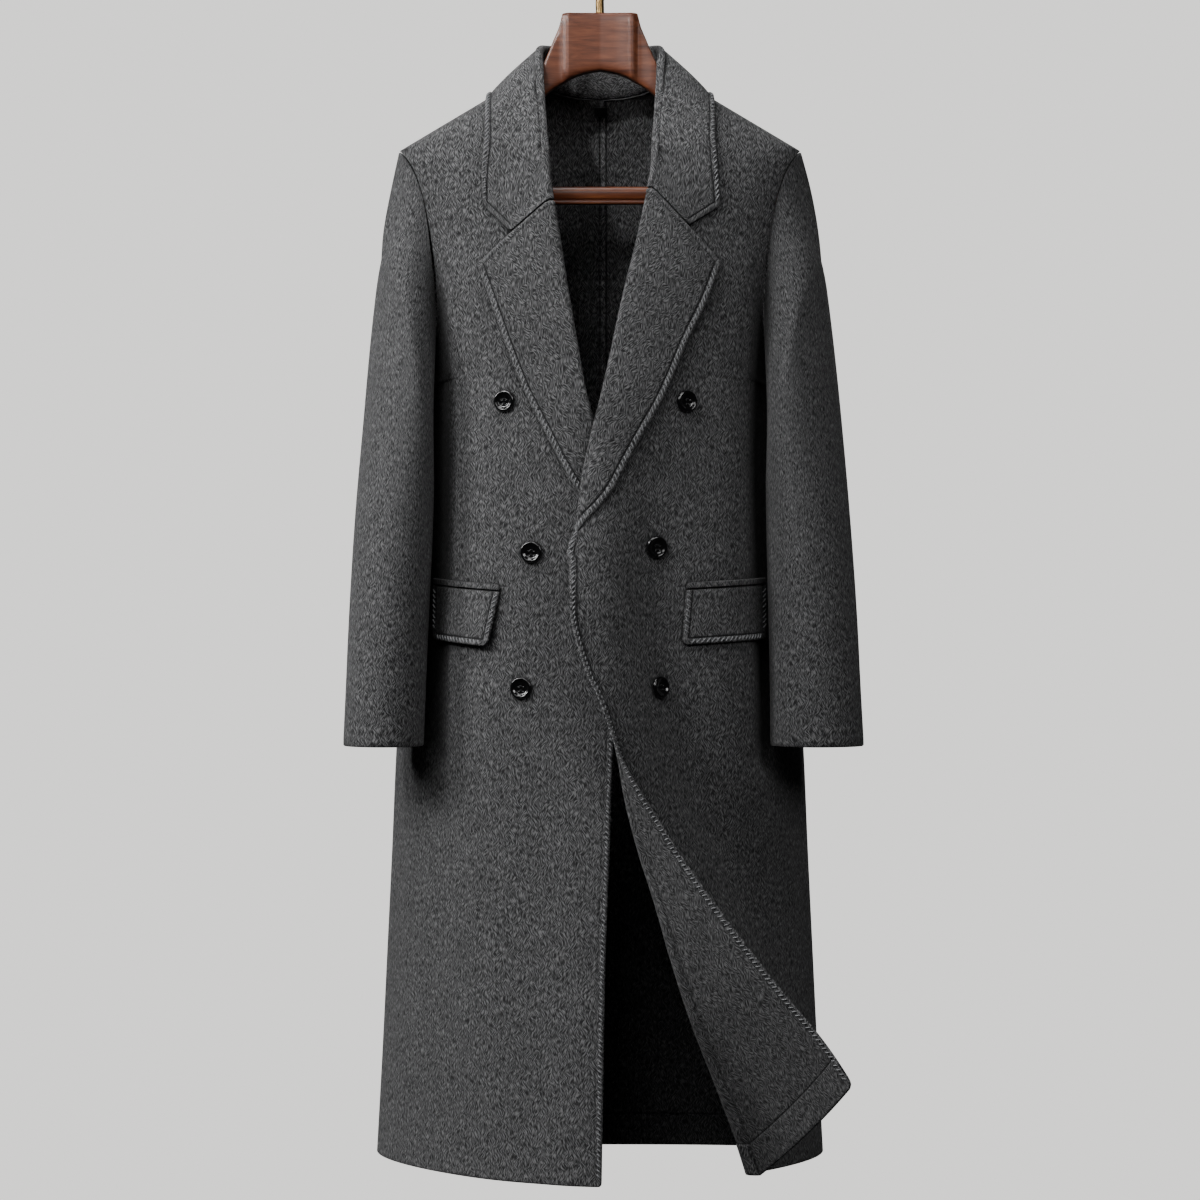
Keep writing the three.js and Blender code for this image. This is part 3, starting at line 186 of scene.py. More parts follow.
turn_names = "up ridge_x edge_x edge_y edge_up curl radius lift"
turns = {
    "left": columns(
        turn_names,
        (0, 154, 265.5, -192, 113.5, 1, 8, 0),
        (37, 142.5, 246, -188.5, 143.5, 1, 8, 0),
        (70, 130.7, 227.5, -186, 168.4, 1, 8, 0),
        (116, 113.7, 199, -182.3, 202, 1, 7.6, 0),
        (173, 91.1, 165, -177.8, 244.8, 1, 7.2, 0),
        (241, 68.7, 126, -173, 296, 1, 6.8, 0),
        (311, 49.2, 87, -167.6, 350.6, 1, 6, 0),
        (361, 33.9, 61, -165, 391.7, 1, 5.2, 0),
        (403, 22.7, 41, -168.5, 426, 0.95, 4.4, 0),
        (462, 10.5, 18, -174, 476, 0.6, 3.6, 0),
        (532, -6.7, -3, -177, 539.6, 0.15, 3.2, 0),
        (572, -15.6, -13.3, -176, 577, 0, 3, 0),
        (614, -23.2, -19.3, -172.5, 617, 0, 3, 0),
        (669, -26.5, -24.5, -164, 669, 0, 2, 3.4),
        (705, -23, -7.5, 0, 696, 0.6, 1.8, 3.6),
        (765, -14, 14.6, 0, 744, 1, 2.2, 4.6),
        (820, -3, 36.3, 0, 787.7, 1, 2.7, 6),
        (884, 10.8, 62.6, 0, 838, 1, 3.2, 7.4),
        (962, 28, 91, 0, 901, 1, 3.5, 8),
        (1006, 39, 108.5, 0, 936.6, 1, 3.6, 8),
        (1065, 51.5, 127.8, 0, 985.5, 1, 3.6, 7),
    ),
    "right": columns(
        turn_names,
        (0, -2, -2, 0, 0, 0, 2, 3.2),
        (197, -5.3, -5.3, 0, 197, 0, 2, 3.2),
        (430, -14.9, -14.9, 0, 430, 0, 2, 3.2),
        (675, -27.7, -27.2, 0, 675, 0, 1.7, 3.2),
        (712, -18.5, -4, 0, 702, 0.6, 1.7, 3.3),
        (757, -7.4, 21.3, 0, 733, 1, 1.7, 3.4),
        (800, 3.2, 42, 0, 768, 1, 1.8, 3.6),
        (845, 15.3, 59.7, 0, 805, 1, 2.3, 4.2),
        (892, 23.6, 79, 0, 844.5, 1, 2.9, 5),
        (952, 33.9, 98.8, 0, 897, 1, 3.4, 6),
        (1010, 43, 116.6, 0, 947.6, 1, 3.6, 6.5),
        (1051.5, 50, 130, 0, 984, 1, 3.6, 6.5),
    ),
}
break_up = {"left": 669, "right": 675}
gorge_up = {"left": 1065, "right": 1051.5}
way_of = {"left": 1, "right": -1}
print("girth tables:", len(body["up"]), "sections,", len(armhole["up"]), "armhole heights")

# %% [markdown]
# ## Soft folds
# Heavy wool hangs almost smooth, but not quite: it sinks where one front tucks behind the other, swells
# beside that, and runs down to the hem in a few shallow flutes. Each fold is given as a path down
# the cloth with a half width and a height, below zero for a hollow, and shaped like a bell across.

# %% Folds
fold_names = "up out half_width height"
folds = {
    "left": {
        "hollow_beside_the_edge": columns(
            fold_names, (60, 232, 26, 0), (219, 196, 32, -7), (344, 146, 36, -12), (468, 92, 38, -13),
            (570, 70, 36, -13), (655, 60, 34, -11), (735, 56, 30, -5), (800, 58, 28, 0)),
        "swell_beside_the_hollow": columns(
            fold_names, (300, 196, 28, 0), (468, 150, 40, 8), (570, 136, 42, 11), (655, 130, 42, 11),
            (760, 136, 40, 8), (880, 142, 36, 4), (970, 146, 32, 0)),
        "rise_at_the_edge": columns(
            fold_names, (340, 36, 44, 0), (403, 22, 46, 8), (462, 10, 46, 18), (532, -7, 46, 27),
            (600, -21, 46, 30), (669, -26, 44, 24), (720, -20, 40, 10), (780, -10, 34, 0)),
    },
    "right": {
        "tuck_under_the_overlap": columns(
            fold_names, (120, 0, 34, -2), (300, 4, 40, -6), (480, 4, 48, -11), (669, 8, 50, -11),
            (760, 20, 40, -5), (830, 30, 32, 0)),
        "swell_beside_the_tuck": columns(
            fold_names, (0, 128, 34, 1.5), (300, 122, 40, 4), (560, 120, 42, 6), (760, 130, 38, 4),
            (860, 140, 32, 0)),
        "flute_to_the_hem": columns(
            fold_names, (0, 64, 22, -2.4), (200, 62, 22, -2), (420, 60, 20, 0)),
    },
}


chest_forwards = columns(
    "up height", (60, 0), (300, 6), (463, 14), (600, 18), (760, 18), (858, 15), (950, 8), (1010, 0))


def set_forwards(up, out, fading):
    """How far the outer half of a front is set forwards, so that the chest is flat up to the sleeves."""
    half = smooth(body, "half", up)
    beside = ease(up, 400, 450)
    faded = ease(out, mix(0.86 * half, 160, beside), mix(0.98 * half, 176, beside))
    free = 1 - faded if fading else 1
    return free * ease(out, 40, 160) * smooth(chest_forwards, "height", up)


def drape(side, up, out, fading):
    """How far the folds move a front outwards; they fade towards the side, and sooner beside a sleeve."""
    share = out / smooth(body, "half", up)
    beside = ease(up, 400, 450)
    free = 1 - ease(share, mix(0.86, 0.7, beside), mix(0.98, 0.86, beside)) if fading else 1
    total = np.zeros(np.broadcast(up, out).shape)
    for fold in folds[side].values():
        path, width = smooth(fold, "out", up), smooth(fold, "half_width", up)
        total = total + smooth(fold, "height", up) * np.exp(-((out - path) / width) ** 2)
    return total * free


print("folds on the fronts:", sum(len(table) for table in folds.values()))

# %% [markdown]
# ## The body's surface
# Seen from above, the hanging body is a rounded letter D: almost flat across the back, and drawn to a soft
# point at the front, where the weight of the overlap pulls it. Two halves of a superellipse say that well,
# with an exponent for how round each is. A turn of 0 is centre front, 1 the side seam and 2 centre back.

# %% Points and directions on the body


def body_point(up, turn):
    up, turn = np.broadcast_arrays(np.asarray(up, float), np.asarray(turn, float))
    back = np.abs(turn) > 1
    angle = np.where(back, 2 - np.abs(turn), np.abs(turn)) * math.pi / 2
    roundness = np.where(back, smooth(body, "back_round", up), smooth(body, "front_round", up))
    far = np.where(back, smooth(body, "back", up), smooth(body, "front", up))
    side = smooth(body, "side", up)
    across = np.clip(np.sin(angle), 0, None) ** (2 / roundness)
    along = np.clip(np.cos(angle), 0, None) ** (2 / roundness)
    x = np.where(turn < 0, -1, 1) * smooth(body, "half", up) * across
    return np.stack([x, side + (far - side) * along, up], -1)


def turn_at(up, x, back=False):
    roundness = smooth(body, "back_round" if back else "front_round", up)
    share = np.minimum(1, np.abs(x) / smooth(body, "half", up))
    angle = np.arcsin(share ** (roundness / 2)) * 2 / math.pi
    return np.where(np.asarray(x) < 0, -1, 1) * (2 - angle if back else angle)


def body_normal(up, turn):
    small = 0.012
    along = body_point(up, turn + small) - body_point(up, turn - small)
    upward = body_point(up + 2, turn) - body_point(up - 2, turn)
    return unit(np.cross(along, upward))


def front_surface(side, up, out, fading=True):
    """A place on a front, out from the centre on its own side, and its outward direction.

    Without fading it is the place of a stiff piece, which doesn't drop away beside the sleeve.
    """
    turn = turn_at(up, way_of[side] * out)
    normal = body_normal(up, turn)
    lapped = (1 - ease(out, 50, 125)) * (1 - ease(up, 825, 930))
    lift = overlap_lift * lapped if side == "left" else 0 * lapped
    point = body_point(up, turn) + normal * (lift + drape(side, up, out, fading))[..., None]
    return point - np.array([0, 1, 0]) * set_forwards(up, out, fading)[..., None], normal


print("hem girth, front to back in mm:", body_point(0, 0.0)[1].round(), body_point(0, 2.0)[1].round())

# %% [markdown]
# ## Cloth as a wall
# Double-faced wool has two good sides, about 2.5 mm apart here, and its raw edges are folded in and felled,
# so an edge looks thick and round. A wall with two faces and a rounded rim is made from one grid of middle
# points. Solidify would give the thickness too, but not the soft rim, nor relief on one side alone.

# %% A wall of cloth from a grid of middle points
rim_inset = 0.42
rim_height = 0.8


def grid_normals(points, present, wrap):
    ahead = np.roll(points, -1, axis=1) if wrap else points[:, 1:]
    here = points if wrap else points[:, :-1]
    facing = np.cross(ahead[1:] - here[:-1], here[1:] - ahead[:-1]) * present[..., None]
    normals = np.zeros_like(points)
    for rows in (slice(0, -1), slice(1, None)):
        if wrap:
            normals[rows] += facing + np.roll(facing, 1, axis=1)
        else:
            normals[rows, :-1] += facing
            normals[rows, 1:] += facing
    return unit(normals)


def open_edges(present, wrap):
    """The grid's free edges, as pairs of corners with the step that leads inwards from each."""
    cells = present.shape[1]
    cols = cells if wrap else cells + 1
    edges = []
    padded = np.pad(present, ((1, 1), (0, 0)))
    for i, j in np.argwhere(padded[1:] != padded[:-1]):
        inward = 1 if padded[i + 1, j] else -1
        edges.append(((i, j), (i, (j + 1) % cols), (inward, 0)))
    padded = np.concatenate([present[:, -1:], present], 1) if wrap else np.pad(present, ((0, 0), (1, 1)))
    for i, j in np.argwhere(padded[:, 1:] != padded[:, :-1]):
        inward = 1 if padded[i, j + 1] else -1
        edges.append(((i, j), (i + 1, j), (0, inward)))
    return edges


def wool_wall(name, points, flat, present=None, wrap=False, outside=None, relief=(0, 0), seam=(0, 0),
              thick=cloth):
    """A closed wall of cloth round a grid of middle points.

    flat is each point's place in the cut cloth, outside tells which side is out, and relief raises the
    outer and the inner face. seam tells the wool colour where to paint shade, up to 1 along stitched
    grooves, and where to paint a highlight, below 0 on felled bands.
    """
    rows, cols = points.shape[:2]
    if present is None:
        present = np.ones((rows - 1, cols if wrap else cols - 1), bool)
    normals = grid_normals(points, present, wrap)
    if outside is not None and np.sum(normals[:, :outside.shape[1]] * outside) < 0:
        normals = -normals
    edges = open_edges(present, wrap)
    inset = np.zeros_like(points)
    rim = np.zeros((rows, cols), bool)
    for a, b, (down, across) in edges:
        for i, j in (a, b):
            inset[i, j] += unit(points[i + down, (j + across) % cols] - points[i, j])
            rim[i, j] = True
    inset = unit(inset) * rim[..., None] * thick * rim_inset
    height = np.where(rim, rim_height, 1.0) * thick / 2
    outer = points + inset + normals * (height + relief[0])[..., None]
    inner = points + inset - normals * (height + relief[1])[..., None]
    index = np.arange(rows * cols).reshape(rows, cols)
    ahead = np.roll(index, -1, axis=1) if wrap else index[:, 1:]
    here = index if wrap else index[:, :-1]
    quads = np.stack([here[:-1], ahead[:-1], ahead[1:], here[1:]], -1)[present]
    size = rows * cols
    strips = []
    for a, b, _ in edges:
        ia, ib = index[a], index[b]
        rim_a, rim_b = ia + 2 * size, ib + 2 * size
        strips += [(ia, ib, rim_b, rim_a), (rim_a, rim_b, ib + size, ia + size)]
    faces = np.concatenate([quads, quads[:, ::-1] + size, np.array(strips)])
    verts = np.concatenate([outer.reshape(-1, 3), inner.reshape(-1, 3), points.reshape(-1, 3)])
    painted_shade_and_highlight = np.concatenate([(np.zeros((rows, cols)) + s).ravel() for s in (*seam, 0)])
    piece = mesh_piece(name, verts, faces, np.concatenate([flat.reshape(-1, 2)] * 3), painted_shade_and_highlight)
    return piece, outer, inner, normals


def mesh_piece(name, verts, faces, flat, painted_shade_and_highlight):
    """A piece of cloth from the points that its faces use, with its place in the cut cloth as a UV map."""
    used = np.unique(faces)
    order = np.full(len(verts), -1)
    order[used] = np.arange(len(used))
    piece = place_mesh(name, verts[used], order[faces].tolist())
    mesh = piece.data
    corner = np.empty(len(mesh.loops), np.int32)
    mesh.loops.foreach_get("vertex_index", corner)
    layer = mesh.uv_layers.new(name="cloth")
    layer.data.foreach_set("uv", (flat[used] * mm)[corner].ravel())
    layer = mesh.attributes.new("painted_shade_and_highlight", "FLOAT", "POINT")
    layer.data.foreach_set("value", painted_shade_and_highlight[used].astype(np.float32))
    return piece


def place_mesh(name, verts, faces):
    """A smooth object with its faces outwards, from points in the coat's own millimetres."""
    mesh = bpy.data.meshes.new(name)
    mesh.from_pydata(to_frame(verts).tolist(), [], faces)
    work = bmesh.new()
    work.from_mesh(mesh)
    bmesh.ops.recalc_face_normals(work, faces=work.faces)
    work.to_mesh(mesh)
    work.free()
    mesh.shade_smooth()
    piece = bpy.data.objects.new(name, mesh)
    bpy.context.scene.collection.objects.link(piece)
    return piece


# %% Measures on a grid of points


def row_lengths(points):
    steps = np.linalg.norm(np.diff(points, axis=1), axis=-1)
    return np.concatenate([np.zeros((len(points), 1)), np.cumsum(steps, axis=1)], axis=1)


def column_lengths(points):
    return row_lengths(points.swapaxes(0, 1)).swapaxes(0, 1)


def to_last(lengths):
    """The distance of each point to the last one of its row."""
    return lengths[:, -1:] - lengths


def line_lengths(points):
    return row_lengths(points[None])[0]


def place_along(at, lengths, points):
    """Points at some distances along a line whose own points lie at the given lengths."""
    return np.stack([np.interp(at, lengths, points[:, k]) for k in range(3)], -1)


def flat_places(points, zero=0, up=None):
    """Each point's place in the cut cloth: along its own row from a distance zero, and up from the hem."""
    up = column_lengths(points).mean(1) if up is None else up
    return np.stack([row_lengths(points) - zero, np.repeat(up[:, None], points.shape[1], 1)], -1)


def resample(rows, at):
    """Points of each row at the given distances along it."""
    return np.stack([place_along(*line) for line in zip(at, row_lengths(rows), rows)])


def round_corner(points, radius):
    """Rounds the grid's last corner, where its last row meets its last column, in place."""
    across = to_last(row_lengths(points))
    along = column_lengths(points)
    along = along[-1:] - along
    p, q = 1 - across / radius, 1 - along / radius
    near = (p > 0) & (q > 0)
    p, q = np.clip(p, 0, 1), np.clip(q, 0, 1)
    back = np.zeros_like(points)
    back[:, 1:] = unit(points[:, :-1] - points[:, 1:])
    down = np.zeros_like(points)
    down[1:] = unit(points[:-1] - points[1:])
    shift = back * ((p - p * np.sqrt(1 - q * q / 2)) * radius)[..., None]
    shift += down * ((q - q * np.sqrt(1 - p * p / 2)) * radius)[..., None]
    points += shift * near[..., None]


def felled_edge(distance, width=8.0, plump=0.5, groove=0.9):
    """Relief of a folded and stitched edge, and a mark for painted shade and highlight, by distance from the
    edge.

    The stitched groove is 1, where the colour is darkened as painted shade, and the plump band is below 0,
    where it is lightened as a painted highlight.
    """
    share = np.clip(distance / width, 0, 1)
    band = np.maximum(np.sin(math.pi * share), 0) ** 0.7
    rim = (distance < width) * np.clip((width - distance) / 1.5, 0, 1)
    line = np.exp(-((distance - width) / 0.95) ** 2)
    return plump * band - groove * line, line - rim * (1 - line)


# %% [markdown]
# ## The two fronts
# Each front is one cut piece: panel, lapel and the strip that becomes the open edge. Above the break the
# cloth rolls over to make the lapel, and below it the left front has fallen open and turned its edge back.
# One family of rows can draw both: from the panel, round a small roll, and on to a free edge that the table
# places. A simulation could drape this, but it would not stop at the photograph's outline.

# %% Rows of a front, from the side to its free edge
roll_steps = 5
turned_steps = 6
all_steps = roll_steps + turned_steps
edge_strip = 12
felled_width = 8
opening_lean = 1.9
opening_height = 90


def outer_turn(up, column):
    x = smooth(armhole, column, up)
    turn = np.abs(turn_at(up, x, column == "back_x"))
    return np.where((up <= underarm_up) | (up >= shoulder_tip_up), 1.0, turn)


def turned_strip(side, up, steps):
    """Points past the panel at each height: steps run from 0 at its end to all_steps at the free edge."""
    way = way_of[side]
    table = turns[side]
    ridge_x, radius = smooth(table, "ridge_x", up), smooth(table, "radius", up)
    curl, lift = smooth(table, "curl", up), smooth(table, "lift", up)
    edge_x, edge_up = smooth(table, "edge_x", up), smooth(table, "edge_up", up)
    edge = np.stack([way * edge_x, smooth(table, "edge_y", up), edge_up], -1)
    opened = (up <= break_up[side]) & (side == "left")
    lean = np.where(opened, opening_lean * ease(break_up[side] - up, 0, opening_height), 0)
    leaning = lean >= 0.01
    safe = np.where(leaning, lean, 1)
    bent = edge_strip / safe * np.sin(np.minimum(safe, math.pi / 2))
    setback = mix(np.where(leaning, bent, edge_strip), radius, curl)
    start, normal = front_surface(side, up, ridge_x + setback)
    ridge = front_surface(side, up, ridge_x)[0]
    level = np.array([1, 1, 0])
    inward, outward = unit((ridge - start) * level), unit(normal * level)
    centre = start + outward * radius[:, None]
    rolled = centre + outward * radius[:, None]
    result = []
    for step in steps:
        share = step / all_steps
        plain = front_surface(side, up, ridge_x + setback * (1 - share))[0]
        curved = start + inward * (edge_strip / safe * np.sin(lean * share))[:, None]
        curved += outward * (edge_strip / safe * (1 - np.cos(lean * share)))[:, None]
        strip = np.where(leaning[:, None], curved, plain)
        if step <= roll_steps:
            angle = math.pi * step / roll_steps
            curled = centre - outward * (radius * math.cos(angle))[:, None]
            curled += inward * (radius * math.sin(angle))[:, None]
        else:
            over = (step - roll_steps) / turned_steps
            free = mix(rolled, edge, over) + outward * (3 * radius * over * (1 - over))[:, None]
            out = mix(ridge_x + setback, edge_x, over)
            place, facing = front_surface(side, mix(up, edge_up, over), out)
            off = mix(2 * radius, lift, over) + 1.2 * math.sin(math.pi * over) * curl
            curled = np.where(opened[:, None], free, place + facing * off[:, None])
        result.append(mix(strip, curled, curl[:, None]))
    return ridge_x + setback, np.stack(result, 1)


def spaced(marks, step):
    """Values from the first mark to the last, through every mark, a step or less apart."""
    parts = []
    for low, high in zip(marks, marks[1:]):
        count = max(1, math.ceil(abs(high - low) / step))
        parts.append(np.linspace(low, high, count + 1)[:-1])
    return np.concatenate(parts + [marks[-1:]])


edge_columns = np.array([0, 1.8, 3.2, 4.6, 5.8, 6.6, 7.2, 7.7, 8.2, 8.8, 9.6, 10.7, 12])
hem_rows = [0, 1.8, 5, 32, 34.4, 35.2, 35.8, 36.4, 37, 37.8, 40]


def front_grid(side):
    gorge = gorge_up[side]
    gorge_rows = [gorge - 12 * k for k in (1.5, 1.1, 0.9, 0.8, 0.72, 0.64, 0.56, 0.45, 0.3, 0.15)]
    up = spaced([*hem_rows, break_up[side], underarm_up, *gorge_rows, gorge, 1087, 1114, neck_point_up], 5.5)
    steps = np.concatenate([np.linspace(0, roll_steps, 25)[:-1], np.linspace(roll_steps, all_steps, 70)])
    start, past = turned_strip(side, np.minimum(up, gorge), steps)
    lengths = row_lengths(past)
    total = lengths[:, -1:]
    edge = np.minimum(edge_strip, 0.8 * total)
    roll = np.minimum(lengths[:, 24:25], 0.6 * (total - edge))
    past = resample(past, np.concatenate([
        roll * np.linspace(0, 1, 11)[None],
        mix(roll, total - edge, np.linspace(0, 1, 16)[None, 1:-1]),
        total - edge * edge_columns[None, ::-1] / edge_strip,
    ], 1))
    inner_x = np.where(up <= gorge, start, smooth(front_neckline, "x", up))
    shares = spaced([0, 0.03, 1], 0.024)[:-1]
    turn = mix(outer_turn(up, "front_x")[:, None], turn_at(up, inner_x)[:, None], shares[None])
    heights = np.repeat(up[:, None], len(shares), 1)
    panel = front_surface(side, heights, body_point(heights, turn)[..., 0])[0]
    neckline = front_surface(side, up, inner_x)[0]
    past[up > gorge] = neckline[up > gorge, None]
    points = np.concatenate([panel, past], 1)
    present = np.ones((len(up) - 1, points.shape[1] - 1), bool)
    present[up[:-1] >= gorge, len(shares):] = False
    return up, points, present, len(shares)


def hem_fold(up):
    """Relief of the hem's turned-up cloth, and painted shade along its line of stitches on the inner face."""
    line = np.exp(-((up - hem_turn_up - 0.2) / 0.9) ** 2)
    return 0.9 * (1 - ease(up, 35.2, 36.4)) - 0.6 * line, 0.8 * line


far_off = 99.0
fronts, front_cells = {}, {}
for side in ("left", "right"):
    up, points, present, panel_columns = front_grid(side)
    front_cells[side] = present
    last = int(np.searchsorted(up, gorge_up[side]))
    turned = points[:last + 1, panel_columns:]
    round_corner(turned, 3.5)
    round_corner(turned[::-1], 9 if side == "left" else 4)
    from_edge = to_last(row_lengths(points))
    from_edge[last + 1:] = far_off
    from_gorge = np.full(from_edge.shape, far_off)
    along = column_lengths(points[:last + 1])
    from_gorge[:last + 1, panel_columns + 4:] = (along[-1:] - along)[:, panel_columns + 4:] * felled_width / 6
    relief, painted_shade_and_highlight = felled_edge(np.minimum(from_edge, from_gorge))
    faint = mix(0.3, 1, ease(up, break_up[side] - 120, break_up[side]))[:, None]
    relief, painted_shade_and_highlight = relief * faint, painted_shade_and_highlight * faint
    hem_relief, hem_painted_shade = hem_fold(up[:, None])
    outside = body_normal(up, way_of[side] * outer_turn(up, "front_x"))[:, None]
    at_panel_end = row_lengths(points)[:, panel_columns, None]
    centre = at_panel_end + way_of[side] * points[:, panel_columns, :1]
    fronts[side] = wool_wall(
        "front_cloth_" + side, points, flat_places(points, centre, up), present, outside=outside,
        relief=(relief, relief + hem_relief), seam=(painted_shade_and_highlight, painted_shade_and_highlight + hem_painted_shade))
    print("front", side, "faces:", len(fronts[side][0].data.polygons))

# %% [markdown]
# ## The backs
# Two plain panels meet at a centre-back seam and hang almost flat. They run up to the shoulder seam and the
# back of the neck.

# %% Backs
seam_band = 7
backs = {}
for side in ("left", "right"):
    way = way_of[side]
    up = spaced([*hem_rows, underarm_up, back_neck_up, 1184.5, 1188, 1192.5, neck_point_up], 8)
    outer = outer_turn(up, "back_x")
    inner_x = np.where(up <= back_neck_up, 0, smooth(back_neckline, "x", up))
    inner = np.abs(turn_at(up, inner_x, True))
    rows = body_point(up[:, None], way * mix(outer[:, None], inner[:, None], np.linspace(0, 1, 90)[None]))
    total = row_lengths(rows)[:, -1:]
    from_centre = np.array([0, 1.6, 3, 4.6, 5.8, 6.5, 7, 7.5, 8.1, 9, 10.5])
    panel = mix(0, total - edge_strip, spaced([0, 0.02, 1], 0.032)[None])
    points = resample(rows, np.concatenate([panel, total - from_centre[None, ::-1]], 1))
    relief, painted_shade_and_highlight = felled_edge(to_last(row_lengths(points)), seam_band, plump=0.7, groove=0.5)
    band = 1.0 if side == "left" else 0.0
    hem_relief, hem_painted_shade = hem_fold(up[:, None])
    outside = body_normal(up, way * outer)[:, None]
    backs[side] = wool_wall(
        "back_cloth_" + side, points, flat_places(points, total, up), outside=outside,
        relief=(0, band * relief + hem_relief), seam=(0, band * painted_shade_and_highlight + hem_painted_shade))
    print("back", side, "faces:", len(backs[side][0].data.polygons))

# %% [markdown]
# ## Sleeves
# A hanging sleeve is a flattened tube that starts at the armhole and swings a little forward, its front
# lying across the body. Each ring starts on the armhole's edge and eases into the level section that the
# table gives, and any point that would enter the body is moved out along the body's own direction.

# %% Sleeves
sleeve_names = "up outer inner middle depth turn"
sleeves = {
    "left": columns(
        sleeve_names,
        (463, 286, 186.4, -44, 55, 6),
        (520, 283, 186, -42, 57, 8),
        (600, 279.5, 184.5, -38, 60, 12),
        (709, 273, 182, -30, 65, 17),
        (818, 265.3, 180.5, -18, 71, 21),
        (916, 256.6, 178.8, -4, 74, 20),
        (970, 250, 180, 4, 72, 16),
        (1022, 242, 182, 8, 64, 10),
        (1074, 231, 190, 6, 46, 4),
        (1115, 219.5, 200, 0, 20, 0),
    ),
    "right": columns(
        sleeve_names,
        (463, 278.4, 192.9, -44, 55, 6),
        (520, 276, 190.7, -42, 57, 8),
        (600, 273, 187.4, -38, 60, 12),
        (709, 267.5, 182.5, -30, 65, 17),
        (818, 260, 180, -18, 71, 21),
        (916, 252.5, 177.7, -4, 74, 20),
        (970, 246.6, 179, 4, 72, 16),
        (1022, 240, 182, 8, 64, 10),
        (1074, 229, 190, 6, 46, 4),
        (1115, 219.5, 200, 0, 20, 0),
    ),
}
sleeve_gap = 1.5
folded_below = 1000


def sleeve_point(side, up, angle):
    table = sleeves[side]
    outer, inner = smooth(table, "outer", up), smooth(table, "inner", up)
    depth, middle = smooth(table, "depth", up), smooth(table, "middle", up)
    turned = np.radians(smooth(table, "turn", up))
    reach = (outer - inner) / 2
    slant = depth * np.sin(turned)
    thin = np.sqrt(np.maximum(reach ** 2 - slant ** 2, 100)) / np.cos(turned)
    a, b = thin * np.cos(angle), depth * np.sin(angle)
    out = (outer + inner) / 2 + a * np.cos(turned) - b * np.sin(turned)
    y = middle - a * np.sin(turned) - b * np.cos(turned)
    return np.stack([way_of[side] * out, y, up], -1)


def clear_of_body(points, gap):
    """Moves points outwards until each lies its gap off the body's middle surface."""
    moved = points.reshape(-1, 3).copy()
    gap = np.broadcast_to(gap, points.shape[:-1]).reshape(-1)
    for _ in range(12):
        up = moved[:, 2]
        back = moved[:, 1] > smooth(body, "side", up)
        roundness = np.where(back, smooth(body, "back_round", up), smooth(body, "front_round", up))
        far = np.where(back, smooth(body, "back", up), smooth(body, "front", up))
        across = np.abs(moved[:, 0]) / smooth(body, "half", up)
        depth = np.abs(far - smooth(body, "side", up))
        along = np.abs(moved[:, 1] - smooth(body, "side", up)) / depth
        level = (across ** roundness + along ** roundness) ** (1 / roundness)
        angle = np.arctan2(across ** (roundness / 2), along ** (roundness / 2)) * 2 / math.pi
        turn = np.where(moved[:, 0] < 0, -1, 1) * np.where(back, 2 - angle, angle)
        off = moved - body_point(up, turn)
        normal = body_normal(up, turn)
        distance = np.where(level < 1, -np.linalg.norm(off, axis=1), np.sum(off * normal, 1))
        short = (distance < gap - 0.02) & (up < neck_point_up + 4)
        moved += np.where(short, np.minimum(gap - distance, 6), 0)[:, None] * normal
    return moved.reshape(points.shape)


def sleeve_grid(side):
    heights = np.array([1114, 1102, 1087, 1059, 1011, 967, 935, 900, 880, 866, 858])
    heights = np.concatenate([heights, heights[-2:0:-1], heights[:1]])
    around = len(heights) - 1
    fine = np.arange(0, around, 0.25)
    seam_up = np.interp(fine, np.arange(around + 1), heights)
    on_back = fine > around / 2
    turn = np.where(on_back, outer_turn(seam_up, "back_x"), outer_turn(seam_up, "front_x"))
    seam = body_point(seam_up, way_of[side] * turn)
    normal = body_normal(seam_up, way_of[side] * turn)
    centre = seam[::4].mean(0)
    across = centre - seam
    across = unit(across - normal * np.sum(across * normal, 1)[:, None])
    over = mix(-1.5, seam_gap + 0.2, ease(seam_up, 935, 975))
    beside = (cloth + sleeve_gap) * (1 - ease(seam_up, 975, folded_below + 60))
    start = seam + across * over[:, None] + normal * beside[:, None]
    rows = [start]
    angle = 2 * math.pi * fine / around
    shares = spaced([0, 0.004, 0.97, 1], 0.0115)[1:]
    for share in shares:
        up = mix(start[:, 2], cuff_up, share ** 1.25)
        tube = sleeve_point(side, up, angle)
        hold = ease(start[:, 2] - up, 0, 130)
        hold[0] = 1
        reached = np.stack([mix(start[:, 0], tube[:, 0], hold), mix(start[:, 1], tube[:, 1], hold), up], -1)
        climb = np.where(seam_up < folded_below, 1, ease(start[:, 2] - up, 0, 60))
        rows.append(clear_of_body(reached, (cloth + sleeve_gap) * climb))
    return np.stack(rows), normal


sleeve_pieces = {}
for side in ("left", "right"):
    points, normal = sleeve_grid(side)
    flat = flat_places(points)
    flat[..., 1] = -points[..., 2]
    outside = np.zeros_like(points)
    outside[0, :8] = normal[:8]
    sleeve_pieces[side] = wool_wall("sleeve_cloth_" + side, points, flat, wrap=True, outside=outside)
    print("sleeve", side, "faces:", len(sleeve_pieces[side][0].data.polygons))

# %% [markdown]
# ## Collar
# The collar stands up from the neck seam, rolls over and falls on the shoulders, and at its ends it joins
# the lapels along the gorge. It is skinned over stations that follow the neck seam, each with the same
# three stretches: stand, roll and fall.

